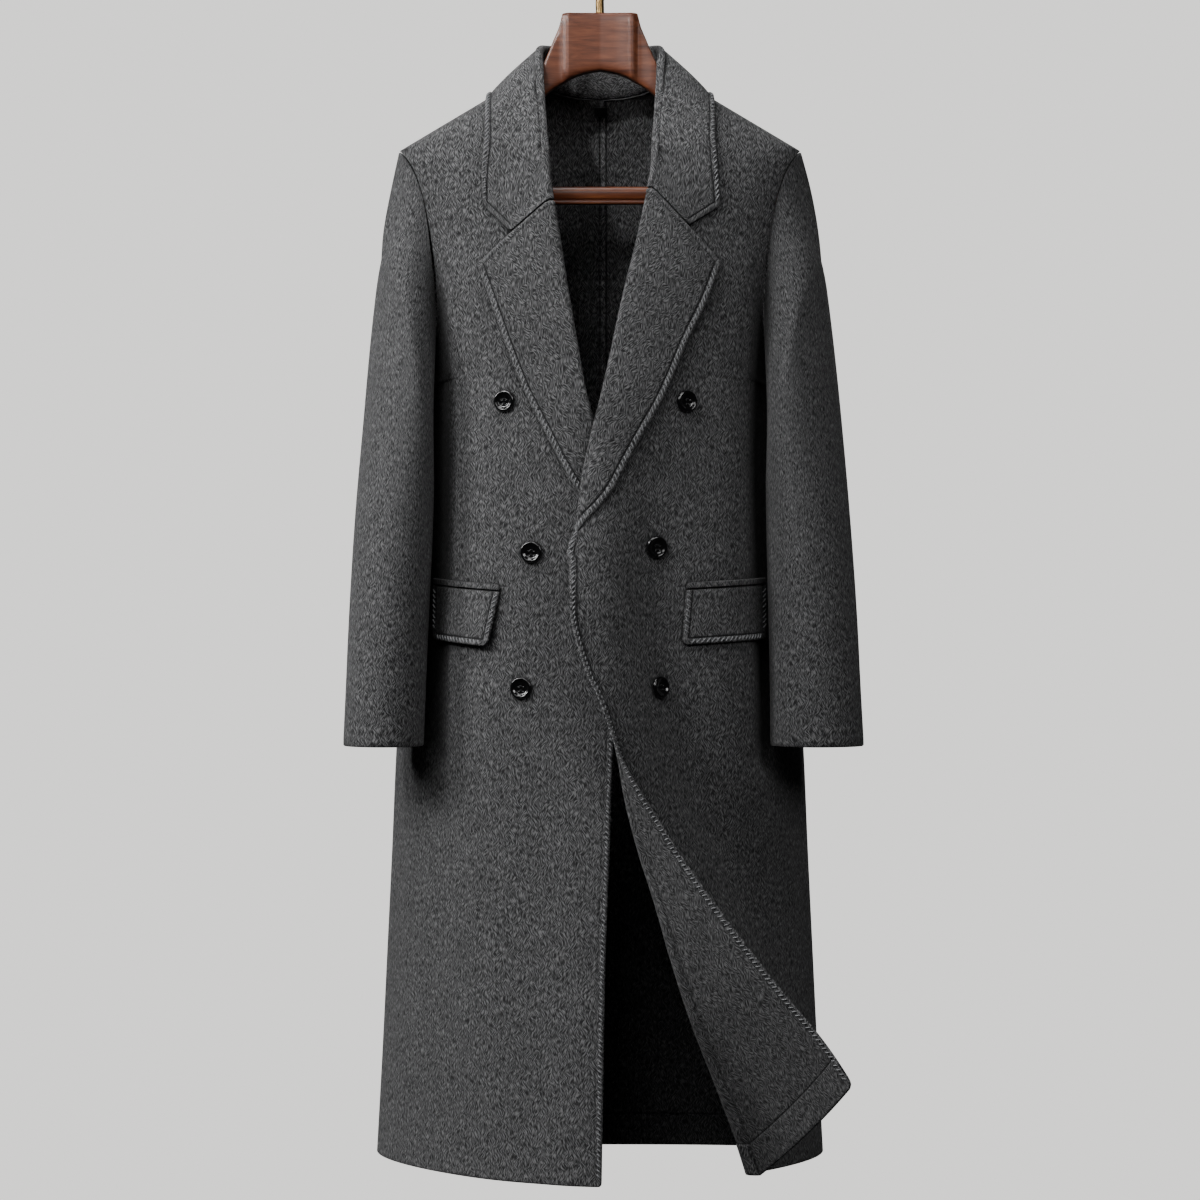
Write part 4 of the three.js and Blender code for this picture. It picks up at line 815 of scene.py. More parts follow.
# %% Collar
roll_to_shoulder = np.array([(0, 94, 1241), (27, 88, 1241), (49, 68, 1239.5), (62.5, 38, 1236),
                             (67.5, 6, 1230)])
roll_to_gorge = np.array([(67.5, 6, 1230), (66.5, -15, 1210), (65, -31, 1180), (62.5, -50.5, 1145),
                          (58.5, -71, 1105)])
collar_edge_back = np.array([(0, 1164), (40, 1163), (78, 1163.5), (104, 1167), (121, 1172.6)])
collar_edge_front = np.array([(121, 1172.6), (124.5, 1150), (125, 1121), (127.5, 1086)])
collar_notch = {"left": (89.1, 1021), "right": (92.4, 1015.5)}
collar_point = {"left": (129.3, 1047), "right": (125.2, 1048)}
collar_radius = 3.6
rows_above_gorge = [1087, 1102, 1114, 1132, 1150, 1170, 1185, 1197]


def curve_points(rows, shares):
    """Points at shares of the length of a smooth curve through some places."""
    padded = np.vstack([2 * rows[0] - rows[1], rows, 2 * rows[-1] - rows[-2]])
    knots = np.concatenate([[0], np.cumsum(np.sqrt(np.linalg.norm(np.diff(padded, axis=0), axis=1)))])
    fine = []
    for k in range(1, len(padded) - 2):
        p0, p1, p2, p3 = padded[k - 1:k + 3]
        t0, t1, t2, t3 = knots[k - 1:k + 3]
        t = np.linspace(t1, t2, 60)[:, None]
        a1 = (t1 - t) / (t1 - t0) * p0 + (t - t0) / (t1 - t0) * p1
        a2 = (t2 - t) / (t2 - t1) * p1 + (t - t1) / (t2 - t1) * p2
        a3 = (t3 - t) / (t3 - t2) * p2 + (t - t2) / (t3 - t2) * p3
        b1 = (t2 - t) / (t2 - t0) * a1 + (t - t0) / (t2 - t0) * a2
        b2 = (t3 - t) / (t3 - t1) * a2 + (t - t1) / (t3 - t1) * a3
        fine.append((t2 - t) / (t2 - t1) * b1 + (t - t1) / (t2 - t1) * b2)
    fine = np.vstack(fine)
    length = line_lengths(fine)
    return place_along(np.clip(shares, 0, 1) * length[-1], length, fine)


def collar_half(side):
    """The collar's rows from centre back to the gorge, on one side."""
    way = way_of[side]
    gorge = gorge_up[side]
    middle = (gorge + rows_above_gorge[0]) / 2
    heights = np.array(rows_above_gorge[::-1] + [middle, gorge])
    gorge_start = turned_strip(side, np.array([float(gorge)]), [0])[0][0]
    foot_share = 0.45
    xs = smooth(front_neckline, "x", heights)
    xs[-1] = mix(gorge_start, smooth(front_neckline, "x", np.array(middle)), foot_share)
    heights[-1] = mix(gorge, middle, foot_share)
    back_turn = turn_at(back_neckline["up"], way * back_neckline["x"], True)
    front_turn = turn_at(heights, way * xs)
    seam = np.vstack([body_point(back_neckline["up"], back_turn), body_point(heights, front_turn)])
    count_back, count_front = len(back_turn), len(heights)
    shares_back = np.arange(count_back) / (count_back - 0.5)
    shares_front = (np.arange(count_front) + 0.5) / (count_front - 0.5)
    last_row = turned_strip(side, np.array([float(gorge)]), [2])[1][0, 0]
    ridge_x = smooth(turns[side], "ridge_x", np.array(float(gorge)))
    gorge_ridge = np.array([way * ridge_x, last_row[1], gorge])
    mirror = np.array([way, 1, 1])
    roll = np.vstack([curve_points(roll_to_shoulder * mirror, shares_back),
                      curve_points(np.vstack([roll_to_gorge * mirror, gorge_ridge]), shares_front)])
    lie = cloth + lay_gap + 1.2

    def lying_on(places, back):
        places = np.asarray(places, float)
        turn = turn_at(places[:, 1], way * places[:, 0], back)
        return body_point(places[:, 1], turn) + body_normal(places[:, 1], turn) * lie

    tip = np.vstack([collar_edge_front, collar_point[side]])
    edge = np.vstack([curve_points(lying_on(collar_edge_back, True), shares_back),
                      curve_points(lying_on(tip, False), shares_front)])
    rows = [collar_row(side, seam[k], roll[k], edge[k], len(seam) - 1 - k) for k in range(len(seam))]
    rows = np.stack(rows)
    raise_to_gorge(side, rows[-1])
    return rows


stand_fine = np.linspace(0, 1, 7)[:-1]
roll_fine = np.linspace(0, 1, 13)
fall_fine = np.linspace(0, 1, 61)


def collar_row(side, seam, roll, edge, from_gorge):
    """One section of the collar: up the stand, round the roll and down the fall to the free edge."""
    way = way_of[side]
    lying = float(ease(from_gorge, 0, 4))
    rise = unit(roll - seam)
    if from_gorge < 2:
        rise = unit(np.array([-way, 0, 0.6]))
    foot = seam + rise * (seam_gap + (0.95 if from_gorge < 8 else 0.4))
    level = unit((edge - foot) * [1, 1, 0])
    chest = front_surface(side, np.array([float(gorge_up[side])]), np.array([60.0]))[1][0] * [1, 1, 0]
    away = unit(mix(unit(chest), level, lying))
    crown = unit(mix(unit(np.array([-way, 0, 0.2])), np.array([0, 0, 1.0]), lying))
    crown = unit(crown - away * np.dot(crown, away))
    centre = roll - crown * collar_radius
    inside = centre - away * collar_radius
    points = [mix(foot, inside, s) for s in stand_fine]
    for s in roll_fine:
        place = centre - away * collar_radius * math.cos(math.pi * s)
        points.append(place + crown * collar_radius * math.sin(math.pi * s))
    points[-1] = clear_of_body(points[-1][None], cloth + lay_gap)[0]
    start = points[-1]
    dip = ([1, 0.62, 0.34, 0.15, 0.05] + [0] * 20)[from_gorge]
    notch_x, notch_up = collar_notch[side]
    middle = mix(start, edge, 0.5)
    fall = []
    for s in fall_fine:
        tent = 1 - abs(2 * s - 1)
        place = mix(start, edge, s) + away * 4 * math.sin(math.pi * s) * (1 - dip)
        place[2] += (notch_up - middle[2]) * tent * dip
        place[0] += (way * notch_x - middle[0]) * tent * dip
        fall.append(place)
    fall = clear_of_body(np.array(fall[1:]), cloth + lay_gap + 1)
    return np.vstack([points, fall])


def raise_to_gorge(side, row):
    """Lays the collar's end just above the lapel's upper edge, along the gorge."""
    gorge = np.array([float(gorge_up[side])])
    fall = fall_fine[1:][fall_fine[1:] <= 0.5]
    steps = np.concatenate([roll_fine * roll_steps, roll_steps + turned_steps * fall])
    lapel = turned_strip(side, gorge, steps)[1][0]
    first = len(stand_fine)
    row[first:first + len(lapel)] = lapel + np.array([-way_of[side] * 0.1, 0, 0.45])
    for s in range(1, first):
        row[s] = mix(row[0], row[first], s / first)


def rows_between(rows, counts):
    """More rows between the given ones, on smooth curves through them."""
    padded = np.concatenate([[2 * rows[0] - rows[1]], rows, [2 * rows[-1] - rows[-2]]])
    fine = []
    for k, count in enumerate(counts):
        p0, p1, p2, p3 = padded[k:k + 4]
        for t in np.arange(count) / count:
            bend = 2 * p0 - 5 * p1 + 4 * p2 - p3
            twist = 3 * p1 - p0 - 3 * p2 + p3
            fine.append(0.5 * (2 * p1 + (p2 - p0) * t + bend * t * t + twist * t ** 3))
    return np.stack(fine + [rows[-1]])


right_half, left_half = collar_half("right"), collar_half("left")
collar_rows = np.concatenate([right_half[:0:-1], left_half])
collar_rows[len(right_half) - 1, :, 0] = 0
counts = np.full(len(collar_rows) - 1, 6)
counts[[0, -1]] = 22
counts[[1, -2]] = 10
collar_rows = rows_between(collar_rows, counts)
first_fall = len(stand_fine) + len(roll_fine) - 1
fall_rows = collar_rows[:, first_fall:]
fall_length = row_lengths(fall_rows)[:, -1:]
fall_shares = np.concatenate([
    np.repeat(np.linspace(0, 0.5, 9)[None], len(fall_rows), 0),
    mix(0.5, 1 - 12 / fall_length, np.linspace(0, 1, 9)[None, 1:-1]),
    1 - edge_columns[None, ::-1] / fall_length,
], 1)
fall_rows = np.stack([place_along(share, fall_fine, row) for row, share in zip(fall_rows, fall_shares)])
fall_rows[1:-1] = clear_of_body(fall_rows[1:-1], cloth + lay_gap + 1)
collar_points = np.concatenate([collar_rows[:, :first_fall], fall_rows], 1)
round_corner(collar_points, 7)
round_corner(collar_points[::-1], 7)
from_edge = to_last(row_lengths(collar_points))
from_end = column_lengths(collar_points)
from_end = np.minimum(from_end, from_end[-1:] - from_end)
from_end[:, :first_fall + 9] = far_off
collar_relief, collar_painted_shade_and_highlight = felled_edge(np.minimum(from_edge, from_end))
# Painted shade along the neck seam at the collar's foot
neck_seam_painted_shade = np.exp(-((row_lengths(collar_points) - 1.5) / 1.2) ** 2)
collar = wool_wall(
    "collar_cloth", collar_points, flat_places(collar_points),
    relief=(collar_relief, collar_relief), seam=(np.maximum(collar_painted_shade_and_highlight, neck_seam_painted_shade),) * 2)
print("collar faces:", len(collar[0].data.polygons))

# %% [markdown]
# ## Pockets
# A flap hangs from under a narrow welt. Both lie on the front, so they are made from the front's own
# points, moved out by the cloth under them. Their edges are felled like the lapels'.

# %% Pockets
pockets = {
    "left": dict(inner_x=89.1, inner_up=632.5, outer_x=174, outer_up=638.4, lean=2.6, stand=1.2),
    "right": dict(inner_x=102.5, inner_up=630.4, outer_x=178, outer_up=637.8, lean=-9, stand=6),
}
flap_drop = 60
welt_height = 7.5


def pocket_grid(side, drop, along, off):
    """Points of a strip below the pocket's mouth, at some drops and shares of its length."""
    p = pockets[side]
    drop = np.repeat(drop[:, None], len(along), 1)
    top = mix(p["inner_up"], p["outer_up"], along)[None]
    lean = p["lean"] * np.maximum(drop, 0) / flap_drop
    start = np.abs(turn_at(top - drop, p["inner_x"] - lean))
    end = np.abs(turn_at(top - drop, p["outer_x"] + 0 * drop))
    out = np.abs(body_point(top - drop, mix(start, end, along[None]))[..., 0])
    place, normal = front_surface(side, top - drop, out, False)
    hang = off + p["stand"] * np.maximum(drop, 0) * (1 - along[None]) / flap_drop
    return place + normal * hang[..., None], normal


pocket_off = cloth + lay_gap + 0.3
flap_length = 108
flaps, welts = {}, {}
for side in ("left", "right"):
    edges = edge_columns / flap_length
    along = np.concatenate([edges, np.linspace(edges[-1], 1 - edges[-1], 22)[1:-1], 1 - edges[::-1]])
    drop = np.linspace(0.4, flap_drop - edge_strip, 14)[:-1]
    drop = np.concatenate([drop, flap_drop - edge_columns[::-1]])
    points, normal = pocket_grid(side, drop, along, pocket_off)
    round_corner(points[:, ::-1], 9)
    round_corner(points, 9)
    across = row_lengths(points)
    below = column_lengths(points)
    from_edge = np.minimum(np.minimum(across, to_last(across)), below[-1:] - below)
    relief, painted_shade_and_highlight = felled_edge(from_edge, 7.5)
    flaps[side] = wool_wall("pocket_flap_cloth_" + side, points, flat_places(points), outside=normal,
                            relief=(relief, 0), seam=(painted_shade_and_highlight, 0))
    drop = np.linspace(-0.1, -welt_height, 10)
    points, normal = pocket_grid(side, drop, along, pocket_off)
    round_corner(points[:, ::-1], 5)
    relief = 0.35 * np.sin(math.pi * np.linspace(0, 1, 10))[:, None]
    welts[side] = wool_wall("pocket_welt_cloth_" + side, points, flat_places(points), outside=normal,
                            relief=(relief, 0))
    print("pocket", side, "faces:", len(flaps[side][0].data.polygons), len(welts[side][0].data.polygons))

# %% [markdown]
# ## Stitches along the edges
# The felled edges are closed by hand with slanted stitches in matching thread, five or six millimetres
# apart. They pull the folded edge into a faint rope. Each one is drawn as a short tapered thread, half sunk
# into the cloth, on the face that shows. A bump pattern could hint at them, but it would stay flat at the
# rim, where they catch the light.

# %% Slanted threads on a strip beside an edge
stitch_step = 5.5
stitch_advance = 4.2
stitch_radius = 0.8


def thread_pieces(starts, ends, facing, radius, sink=0.25):
    """Tapered threads between pairs of points, each sunk a little along its facing direction."""
    sides, stations = 6, np.array([0, 0.12, 0.5, 0.88, 1])
    width = np.array([0.25, 0.8, 1, 0.8, 0.25]) * radius
    along = unit(ends - starts)
    across = unit(np.cross(facing, along))
    above = np.cross(along, across)
    rise = width - sink * radius
    middle = starts[:, None] + (ends - starts)[:, None] * stations[None, :, None]
    middle = middle + above[:, None] * rise[None, :, None]
    angle = 2 * math.pi * np.arange(sides) / sides
    around = across[:, None, None] * np.cos(angle)[None, None, :, None]
    around = around + above[:, None, None] * np.sin(angle)[None, None, :, None]
    verts = middle[:, :, None] + around * width[None, :, None, None]
    count = len(starts)
    index = np.arange(count * len(stations) * sides).reshape(count, len(stations), sides)
    ahead = np.roll(index, -1, axis=2)
    quads = np.stack([index[:, :-1], ahead[:, :-1], ahead[:, 1:], index[:, 1:]], -1).reshape(-1, 4)
    faces = quads.tolist() + index[:, 0, ::-1].tolist() + index[:, -1].tolist()
    return verts.reshape(-1, 3), faces


def join_parts(parts):
    """Joins lists of points and faces into one."""
    verts, faces, first = [], [], 0
    for part_verts, part_faces in parts:
        verts.append(part_verts)
        faces += [[corner + first for corner in face] for face in part_faces]
        first += len(part_verts)
    return np.concatenate(verts), faces


def edge_stitches(strip, distance, facing, skip=(8, 8), reach=(1.4, 7.2)):
    """Threads across a strip whose rows run along an edge; distance gives each column's place from it."""
    order = np.argsort(distance)
    near, far = [
        np.stack([place_along(at, distance[order], row[order]) for row in strip]) for at in reach
    ]
    length = line_lengths(near)
    at = np.arange(skip[0], length[-1] - skip[1] - stitch_advance, stitch_step)
    starts = place_along(at, length, near)
    ends = place_along(at + stitch_advance, length, far)
    return thread_pieces(starts, ends, unit(place_along(at, length, facing)), stitch_radius)


first_columns = slice(0, len(edge_columns))
last_columns = slice(-len(edge_columns), None)
from_rim = edge_columns[::-1]
flap_reach = (1.4, 6.6)
stitches = {}
for side in ("left", "right"):
    _, outer, inner, normals = fronts[side]
    rows = slice(0, int(front_cells[side][:, -1].sum()) + 1)
    parts = []
    for face, way in ((outer, 1), (inner, -1)):
        strip = face[rows, last_columns]
        parts.append(edge_stitches(strip, from_rim, way * normals[rows, -6]))
    stitches["front_" + side] = place_mesh("front_stitches_" + side, *join_parts(parts))
    _, outer, _, normals = flaps[side]
    lower = outer[last_columns].swapaxes(0, 1)
    parts = [
        edge_stitches(outer[:, first_columns], edge_columns, normals[:, 5], (3, 8), flap_reach),
        edge_stitches(outer[:, last_columns], from_rim, normals[:, -6], (3, 8), flap_reach),
        edge_stitches(lower, from_rim, normals[-6], (8, 8), flap_reach),
    ]
    stitches["pocket_flap_" + side] = place_mesh("pocket_stitches_" + side, *join_parts(parts))
_, outer, inner, normals = collar
around = [np.linalg.norm(face[..., :2], axis=-1).sum() for face in (outer, inner)]
showing, sign = (outer, 1) if around[0] > around[1] else (inner, -1)
threads = edge_stitches(showing[:, last_columns], from_rim, sign * normals[:, -6])
stitches["collar"] = place_mesh("collar_stitches", *threads)
print("stitched edges:", len(stitches), "faces:", sum(len(s.data.polygons) for s in stitches.values()))

# %% [markdown]
# ## Buttons
# Six glossy black buttons, turned from horn or a resin like it, with a thick rim, a shallow dish and four
# holes sewn through with black thread. Each one is a disc whose height follows the turner's profile, and
# it sits square to the folded cloth.

# %% Turned buttons with four holes
button_profile = columns(
    "r height", (0, 2.02), (4.4, 2.05), (6.2, 2.25), (7.4, 2.8), (8.4, 3.5), (9.6, 3.92), (10.7, 3.75),
    (11.5, 3.1), (11.9, 2.3), (12, 1.9))
button_under = columns("r height", (0, 0), (8.6, 0.05), (10.6, 0.6), (11.6, 1.15), (12, 1.9))
hole_radius = 1.15
hole_reach = 2.35
hole_depth = 1.7
sewing_radius = 0.48
disc_rim = 12
button_places = {
    "left": [(89.8, 834, 0.3), (59.6, 678, 1.75), (61.7, 528, 2.1)],
    "right": [(101.6, 835, 0.35), (73.5, 672.5, 0.35), (82.9, 527, 0.3)],
}


def cloth_facing(side, up, out):
    """The outward direction of the folded cloth, over a step about as wide as a button."""
    step = 7
    across = front_surface(side, up, out + step)[0] - front_surface(side, up, out - step)[0]
    upward = front_surface(side, up + step, out)[0] - front_surface(side, up - step, out)[0]
    facing = unit(np.cross(across, upward))
    return -facing if facing[1] > 0 else facing


def ring_faces(count, around):
    """The faces of a closed skin over rings of equal length, with capped ends."""
    index = np.arange(count * around).reshape(count, around)
    ahead = np.roll(index, -1, axis=1)
    faces = np.stack([index[:-1], ahead[:-1], ahead[1:], index[1:]], -1).reshape(-1, 4).tolist()
    return faces + [index[0, ::-1].tolist(), index[-1].tolist()]


def button_parts():
    """The disc and its thread, lying flat with the face up the third axis."""
    around = 72
    angle = 2 * math.pi * np.arange(around) / around
    top_r = np.concatenate([np.linspace(0.3, 5.2, 17), np.linspace(5.5, 11.6, 17), [11.85, disc_rim]])
    under_r = np.array([11.7, 10.8, 8.6, 3])
    rings = []
    for r in top_r:
        x, y = r * np.cos(angle), r * np.sin(angle)
        height = smooth(button_profile, "height", np.full(around, r), "r")
        nearest = np.hypot(np.abs(x) - hole_reach, np.abs(y) - hole_reach)
        hole = 1 - ease(nearest, hole_radius - 0.3, hole_radius + 0.12)
        rings.append(np.stack([x, y, height - hole_depth * hole], -1))
    for r in under_r:
        height = smooth(button_under, "height", np.full(around, r), "r")
        rings.append(np.stack([r * np.cos(angle), r * np.sin(angle), height], -1))
    h = hole_reach
    starts = np.array([(-h, -h, 1.5), (-h + 0.5, -h - 0.2, 1.5), (-h, h, 1.5), (-h + 0.5, h + 0.2, 1.5)])
    ends = starts * [-1, 1, 1]
    lifted = np.array([0, 0, 0.35])
    up = np.tile([0, 0, 1.0], (4, 1))
    thread = thread_pieces(starts + lifted, ends + lifted, up, sewing_radius, sink=-0.3)
    return (np.concatenate(rings), ring_faces(len(rings), around)), thread


def place_on(points, centre, facing):
    """Turns flat points so that their third axis faces out of the cloth, and moves them there."""
    right = unit(np.cross([0, 0, 1.0], facing))
    upward = np.cross(facing, right)
    return centre + points[:, :1] * right + points[:, 1:2] * upward + points[:, 2:] * facing


buttons = {}
disc, thread = button_parts()
for side in ("left", "right"):
    for k, place in enumerate(button_places[side], 1):
        out, up, seat = (np.array(float(value)) for value in place)
        facing = cloth_facing(side, up, out)
        centre = front_surface(side, up, out)[0] + facing * (cloth / 2 + seat)
        parts = [(place_on(points, centre, facing), faces) for points, faces in (disc, thread)]
        button = place_mesh(f"turned_button_{side}_{k}", *join_parts(parts))
        is_thread = np.arange(len(button.data.polygons)) >= len(disc[1])
        button.data.polygons.foreach_set("material_index", is_thread.astype(np.int32))
        buttons[f"button_{side}_{k}"] = button
print("buttons:", len(buttons), "faces each:", len(button.data.polygons))

# %% [markdown]
# ## Hanging loop
# Inside the back neck a narrow black ribbon is folded in half and sewn down, as a tab to hang the coat by.

# %% A folded ribbon
ribbon_width, ribbon_height, ribbon_thick, tab_up = 13, 11, 0.55, 1171.5
bottom = -ribbon_height / 2 + 0.5
fold_radius = 0.45
bend = np.linspace(0, math.pi, 9)
side_rows = np.linspace(ribbon_height / 2, bottom, 8)
ribbon_path = np.array(
    [(-fold_radius, z) for z in side_rows[:-1]]
    + [(-fold_radius * math.cos(a), bottom - fold_radius * math.sin(a)) for a in bend]
    + [(fold_radius, z) for z in side_rows[-2::-1]])
tab_normal = body_normal(np.array(float(tab_up)), np.array(1.999))
tab_centre = body_point(np.array(float(tab_up)), np.array(2.0)) * [0, 1, 1]
tab_centre = tab_centre - tab_normal * ((cloth + 1.6) / 2 + 0.75)
tab_upward = unit(np.cross([1.0, 0, 0], tab_normal))
tab_upward = tab_upward if tab_upward[2] > 0 else -tab_upward
ribbon_across = np.linspace(-ribbon_width / 2, ribbon_width / 2, 9)
ribbon_points = np.array([
    [tab_centre + [x, 0, 0] - tab_normal * n + tab_upward * z for x in ribbon_across] for n, z in ribbon_path
])
ribbon_flat = flat_places(ribbon_points)
hang_loop = wool_wall("ribbon_tab", ribbon_points, ribbon_flat, thick=ribbon_thick)
print("ribbon faces:", len(hang_loop[0].data.polygons))

# %% [markdown]
# ## Hanger
# A tailor's hanger: wide shaped arms that carry the shoulders, and a tall neck piece with a shallow cove
# between two arrises. The body is skinned over sections across its length, taken from the same stations as
# the solid, and each section is a rounded oblong.

# %% The hanger's body
hanger = columns(
    "x top bottom half",
    (0, 1266.5, 1203, 10.4),
    (17, 1266.5, 1200, 11.2),
    (30, 1266.5, 1195.5, 12.6),
    (34.5, 1266.5, 1193, 13.2),
    (36.5, 1266.4, 1192, 12.6),
    (41.3, 1265.6, 1189, 9.2),
    (42.2, 1262, 1188.6, 8.8),
    (45.2, 1250.7, 1187, 8.6),
    (50.2, 1238.8, 1183.8, 9),
    (57.8, 1220.5, 1178, 9.8),
    (63.6, 1208.5, 1173, 10),
    (70, 1197.5, 1167.5, 10.5),
)
arm_from, arm_to = 86, 203
arm_height = (40, 76)
arm_half = (10.5, 19)
shoulder_tip_x = 219
shoulder_run, shoulder_rise = 142, 85


def skin_object(name, rings):
    return place_mesh(name, np.concatenate(rings), ring_faces(len(rings), len(rings[0])))


def hanger_section(x):
    """The top, lower edge and half thickness of the hanger at a distance from its centre."""
    share = (x - arm_from) / (arm_to - arm_from)
    slope = shoulder_rise / shoulder_run
    seam = shoulder_tip_up + slope * (shoulder_tip_x - x)
    top = seam - 1 - cloth / 2 / math.cos(math.atan(slope))
    arm = np.array([top, top - mix(*arm_height, share), mix(*arm_half, share)])
    near = np.array(float(min(x, 70)))
    neck = np.array([smooth(hanger, name, near, "x") for name in ("top", "bottom", "half")])
    return mix(neck, arm, float(ease(x, 68, arm_from)))


def hanger_ring(x, around=72):
    top, bottom, half = hanger_section(abs(x))
    power = mix(7.0, 3.2, float(ease(abs(x), 40, 110)))
    end = max(0.0, (abs(x) - arm_to + 5) / 5)
    shrink = math.sqrt(max(0.0, 1 - end * end)) * 0.5 + 0.5 if end else 1.0
    angle = 2 * math.pi * (np.arange(around) + 0.5) / around
    c, s = np.cos(angle), np.sin(angle)
    y = half * shrink * np.sign(c) * np.abs(c) ** (2 / power)
    z = (top + bottom) / 2 + (top - bottom) / 2 * shrink * np.sign(s) * np.abs(s) ** (2 / power)
    return np.stack([np.full(around, float(x)), y, z], -1)


half_x = spaced([0, 28, 39, 46, 70, 86, 198, arm_to], 2.2)
dense = spaced([28, 34.5, 41.3, 46], 0.7)
half_x = np.unique(np.concatenate([half_x, dense]))
hanger_x = np.concatenate([-half_x[:0:-1], half_x])
hanger_body = skin_object("hanger_wood_body", [hanger_ring(x) for x in hanger_x])
print("hanger body faces:", len(hanger_body.data.polygons))

# %% [markdown]
# ## Bar
# The trouser bar is a length of planed moulding, with a groove along its face above a thin lower rib. Its
# ends are let into the arms. The section is the same all along, so one outline with its corners cut says
# it all, where a bevelled curve would round both faces alike.

# %% The bar
bar_up, bar_reach = 1066, 192
bar_front = np.array([(-10, 3.2), (-9.2, 5.2), (-7.6, 5.6), (-6.4, 5.2), (-6.1, 4), (-5.2, 3.9), (-4.3, 4),
                      (-3.9, 5.7), (-2, 6.3), (2, 6.7), (5.6, 6.2), (8.6, 4.6), (9.9, 2.8)])
bar_outline = np.concatenate([bar_front * [1, -1], bar_front[::-1]])


def cut_corners(outline, times):
    """Rounds a closed outline by cutting each corner at a quarter of its sides."""
    for _ in range(times):
        ahead = np.roll(outline, -1, axis=0)
        outline = np.stack([mix(outline, ahead, 0.25), mix(outline, ahead, 0.75)], 1).reshape(-1, 2)
    return outline


bar_ring = cut_corners(bar_outline, 2)
bar_rings = [np.stack([np.full(len(bar_ring), x), bar_ring[:, 1], bar_up + bar_ring[:, 0]], -1)
             for x in np.linspace(-bar_reach, bar_reach, 25)]
hanger_bar = skin_object("hanger_wood_bar", bar_rings)

# %% [markdown]
# ## Hook
# The hook is a brass rod, bent from a straight stem into an open bow and rounded at its end. Rings along a
# smooth path give the rod, and a few smaller ones close its tip, which a bevelled curve would leave flat.

# %% The hook
hook_radius, bow_inside = 4.6, 19
bow_reach = bow_inside + hook_radius
bow_centre_up = hook_rest_up - bow_inside
bow_angles = np.radians(np.arange(-42, 196, 12))
hook_stem = np.array([(0, 0, 1254), (0, 0, 1268), (0, 0, 1282), (2.4, 0, 1292), (8.5, 0, 1300.5)])
hook_bow = np.stack([bow_reach * np.cos(bow_angles), 0 * bow_angles,
                     bow_centre_up + bow_reach * np.sin(bow_angles)], -1)
hook_path = curve_points(np.vstack([hook_stem, hook_bow]), np.linspace(0, 1, 120))
hook_along = unit(np.gradient(hook_path, axis=0))
hook_side = np.cross(hook_along, [0, 1.0, 0])
around_hook = 2 * math.pi * np.arange(28) / 28
hook_rings = []
for point, side_way in zip(hook_path, hook_side):
    ring = np.cos(around_hook)[:, None] * side_way + np.sin(around_hook)[:, None] * np.array([0, 1.0, 0])
    hook_rings.append(point + hook_radius * ring)
tip, tip_ring, onward = hook_path[-1], hook_rings[-1] - hook_path[-1], hook_along[-1] * hook_radius
for lean in np.radians([22, 45, 66, 84]):
    hook_rings.append(tip + tip_ring * math.cos(lean) + onward * math.sin(lean))
hanger_hook = skin_object("hanger_brass_hook", hook_rings)
print("bar and hook faces:", len(hanger_bar.data.polygons), len(hanger_hook.data.polygons))

# %% [markdown]
# ## Charcoal wool
# Double-faced overcoating is woven from grey yarns, milled until the weave closes, and brushed, so that
# short fibres lie along the cloth in small wavy locks. The eye sees light and dark dashes, a millimetre or
# two wide and under a centimetre long, that lean one way and then the other. Noise stretched along the
# cloth gives the dashes, a second noise bends them, and a third chooses between two leans, patch by patch.

# %% Colours and nodes


def linear(hex_colour):
    """An sRGB hex colour as the linear values that the shader takes."""
    parts = [int(hex_colour[k:k + 2], 16) / 255 for k in (1, 3, 5)]
    return [c / 12.92 if c <= 0.04045 else ((c + 0.055) / 1.055) ** 2.4 for c in parts] + [1]


def add_node(tree, kind, links=None, **settings):
    """Adds a node. Settings name its properties or sockets, and links name what feeds its sockets."""
    node = tree.nodes.new(kind)
    for key, value in settings.items():
        if hasattr(node, key):
            setattr(node, key, value)
        else:
            node.inputs[key.replace("_", " ")].default_value = value
    for socket, source in (links or {}).items():
        tree.links.new(source, node.inputs[socket])
    return node


def noise(tree, vector, scale, detail, **settings):
    return add_node(tree, "ShaderNodeTexNoise", {"Vector": vector}, Scale=scale, Detail=detail, **settings)


def vector_math(tree, operation, vector, by):
    """One step of vector arithmetic, with a socket or a constant. SCALE takes a factor."""
    node = add_node(tree, "ShaderNodeVectorMath", {0: vector}, operation=operation)
    socket = node.inputs["Scale" if operation == "SCALE" else 1]
    if isinstance(by, bpy.types.NodeSocket):
        tree.links.new(by, socket)
    else:
        socket.default_value = by
    return node.outputs["Vector"]


def map_range(tree, value, low, high, to_low=0, to_high=1, **settings):
    """A value between two limits, moved to lie between two others."""
    node = add_node(tree, "ShaderNodeMapRange", {"Value": value}, From_Min=low, From_Max=high,
                    To_Min=to_low, To_Max=to_high, **settings)
    return node.outputs["Result"]


def new_material(name):
    material = bpy.data.materials.new(name)
    material.use_nodes = True
    material.node_tree.nodes.clear()
    return material, material.node_tree


def set_ramp(node, *stops):
    """Fills a colour ramp with places and hex colours."""
    elements = node.color_ramp.elements
    while len(elements) < len(stops):
        elements.new(0.5)
    for element, (place, colour) in zip(elements, stops):
        element.position = place
        element.color = linear(colour)


# %% The wool
# One lock of nap is about 1 mm wide and 6 mm long, a little coarser than the real one so that it shows.
lock_width = 0.85 * mm
lock_length = 6.2 * mm
lock_bend = 14 * mm
lock_push = 6 * mm
lock_lean = 24
patch_size = 11 * mm
cloud_size = 30 * mm
pile_height = 0.8 * mm
# The felled bands are lightened by this factor, a painted highlight
painted_band_highlight = 1.35
# Reach of the painted shade in creases, and how dark it gets
painted_shade_reach = 26 * mm
painted_crease_shade = 0.15


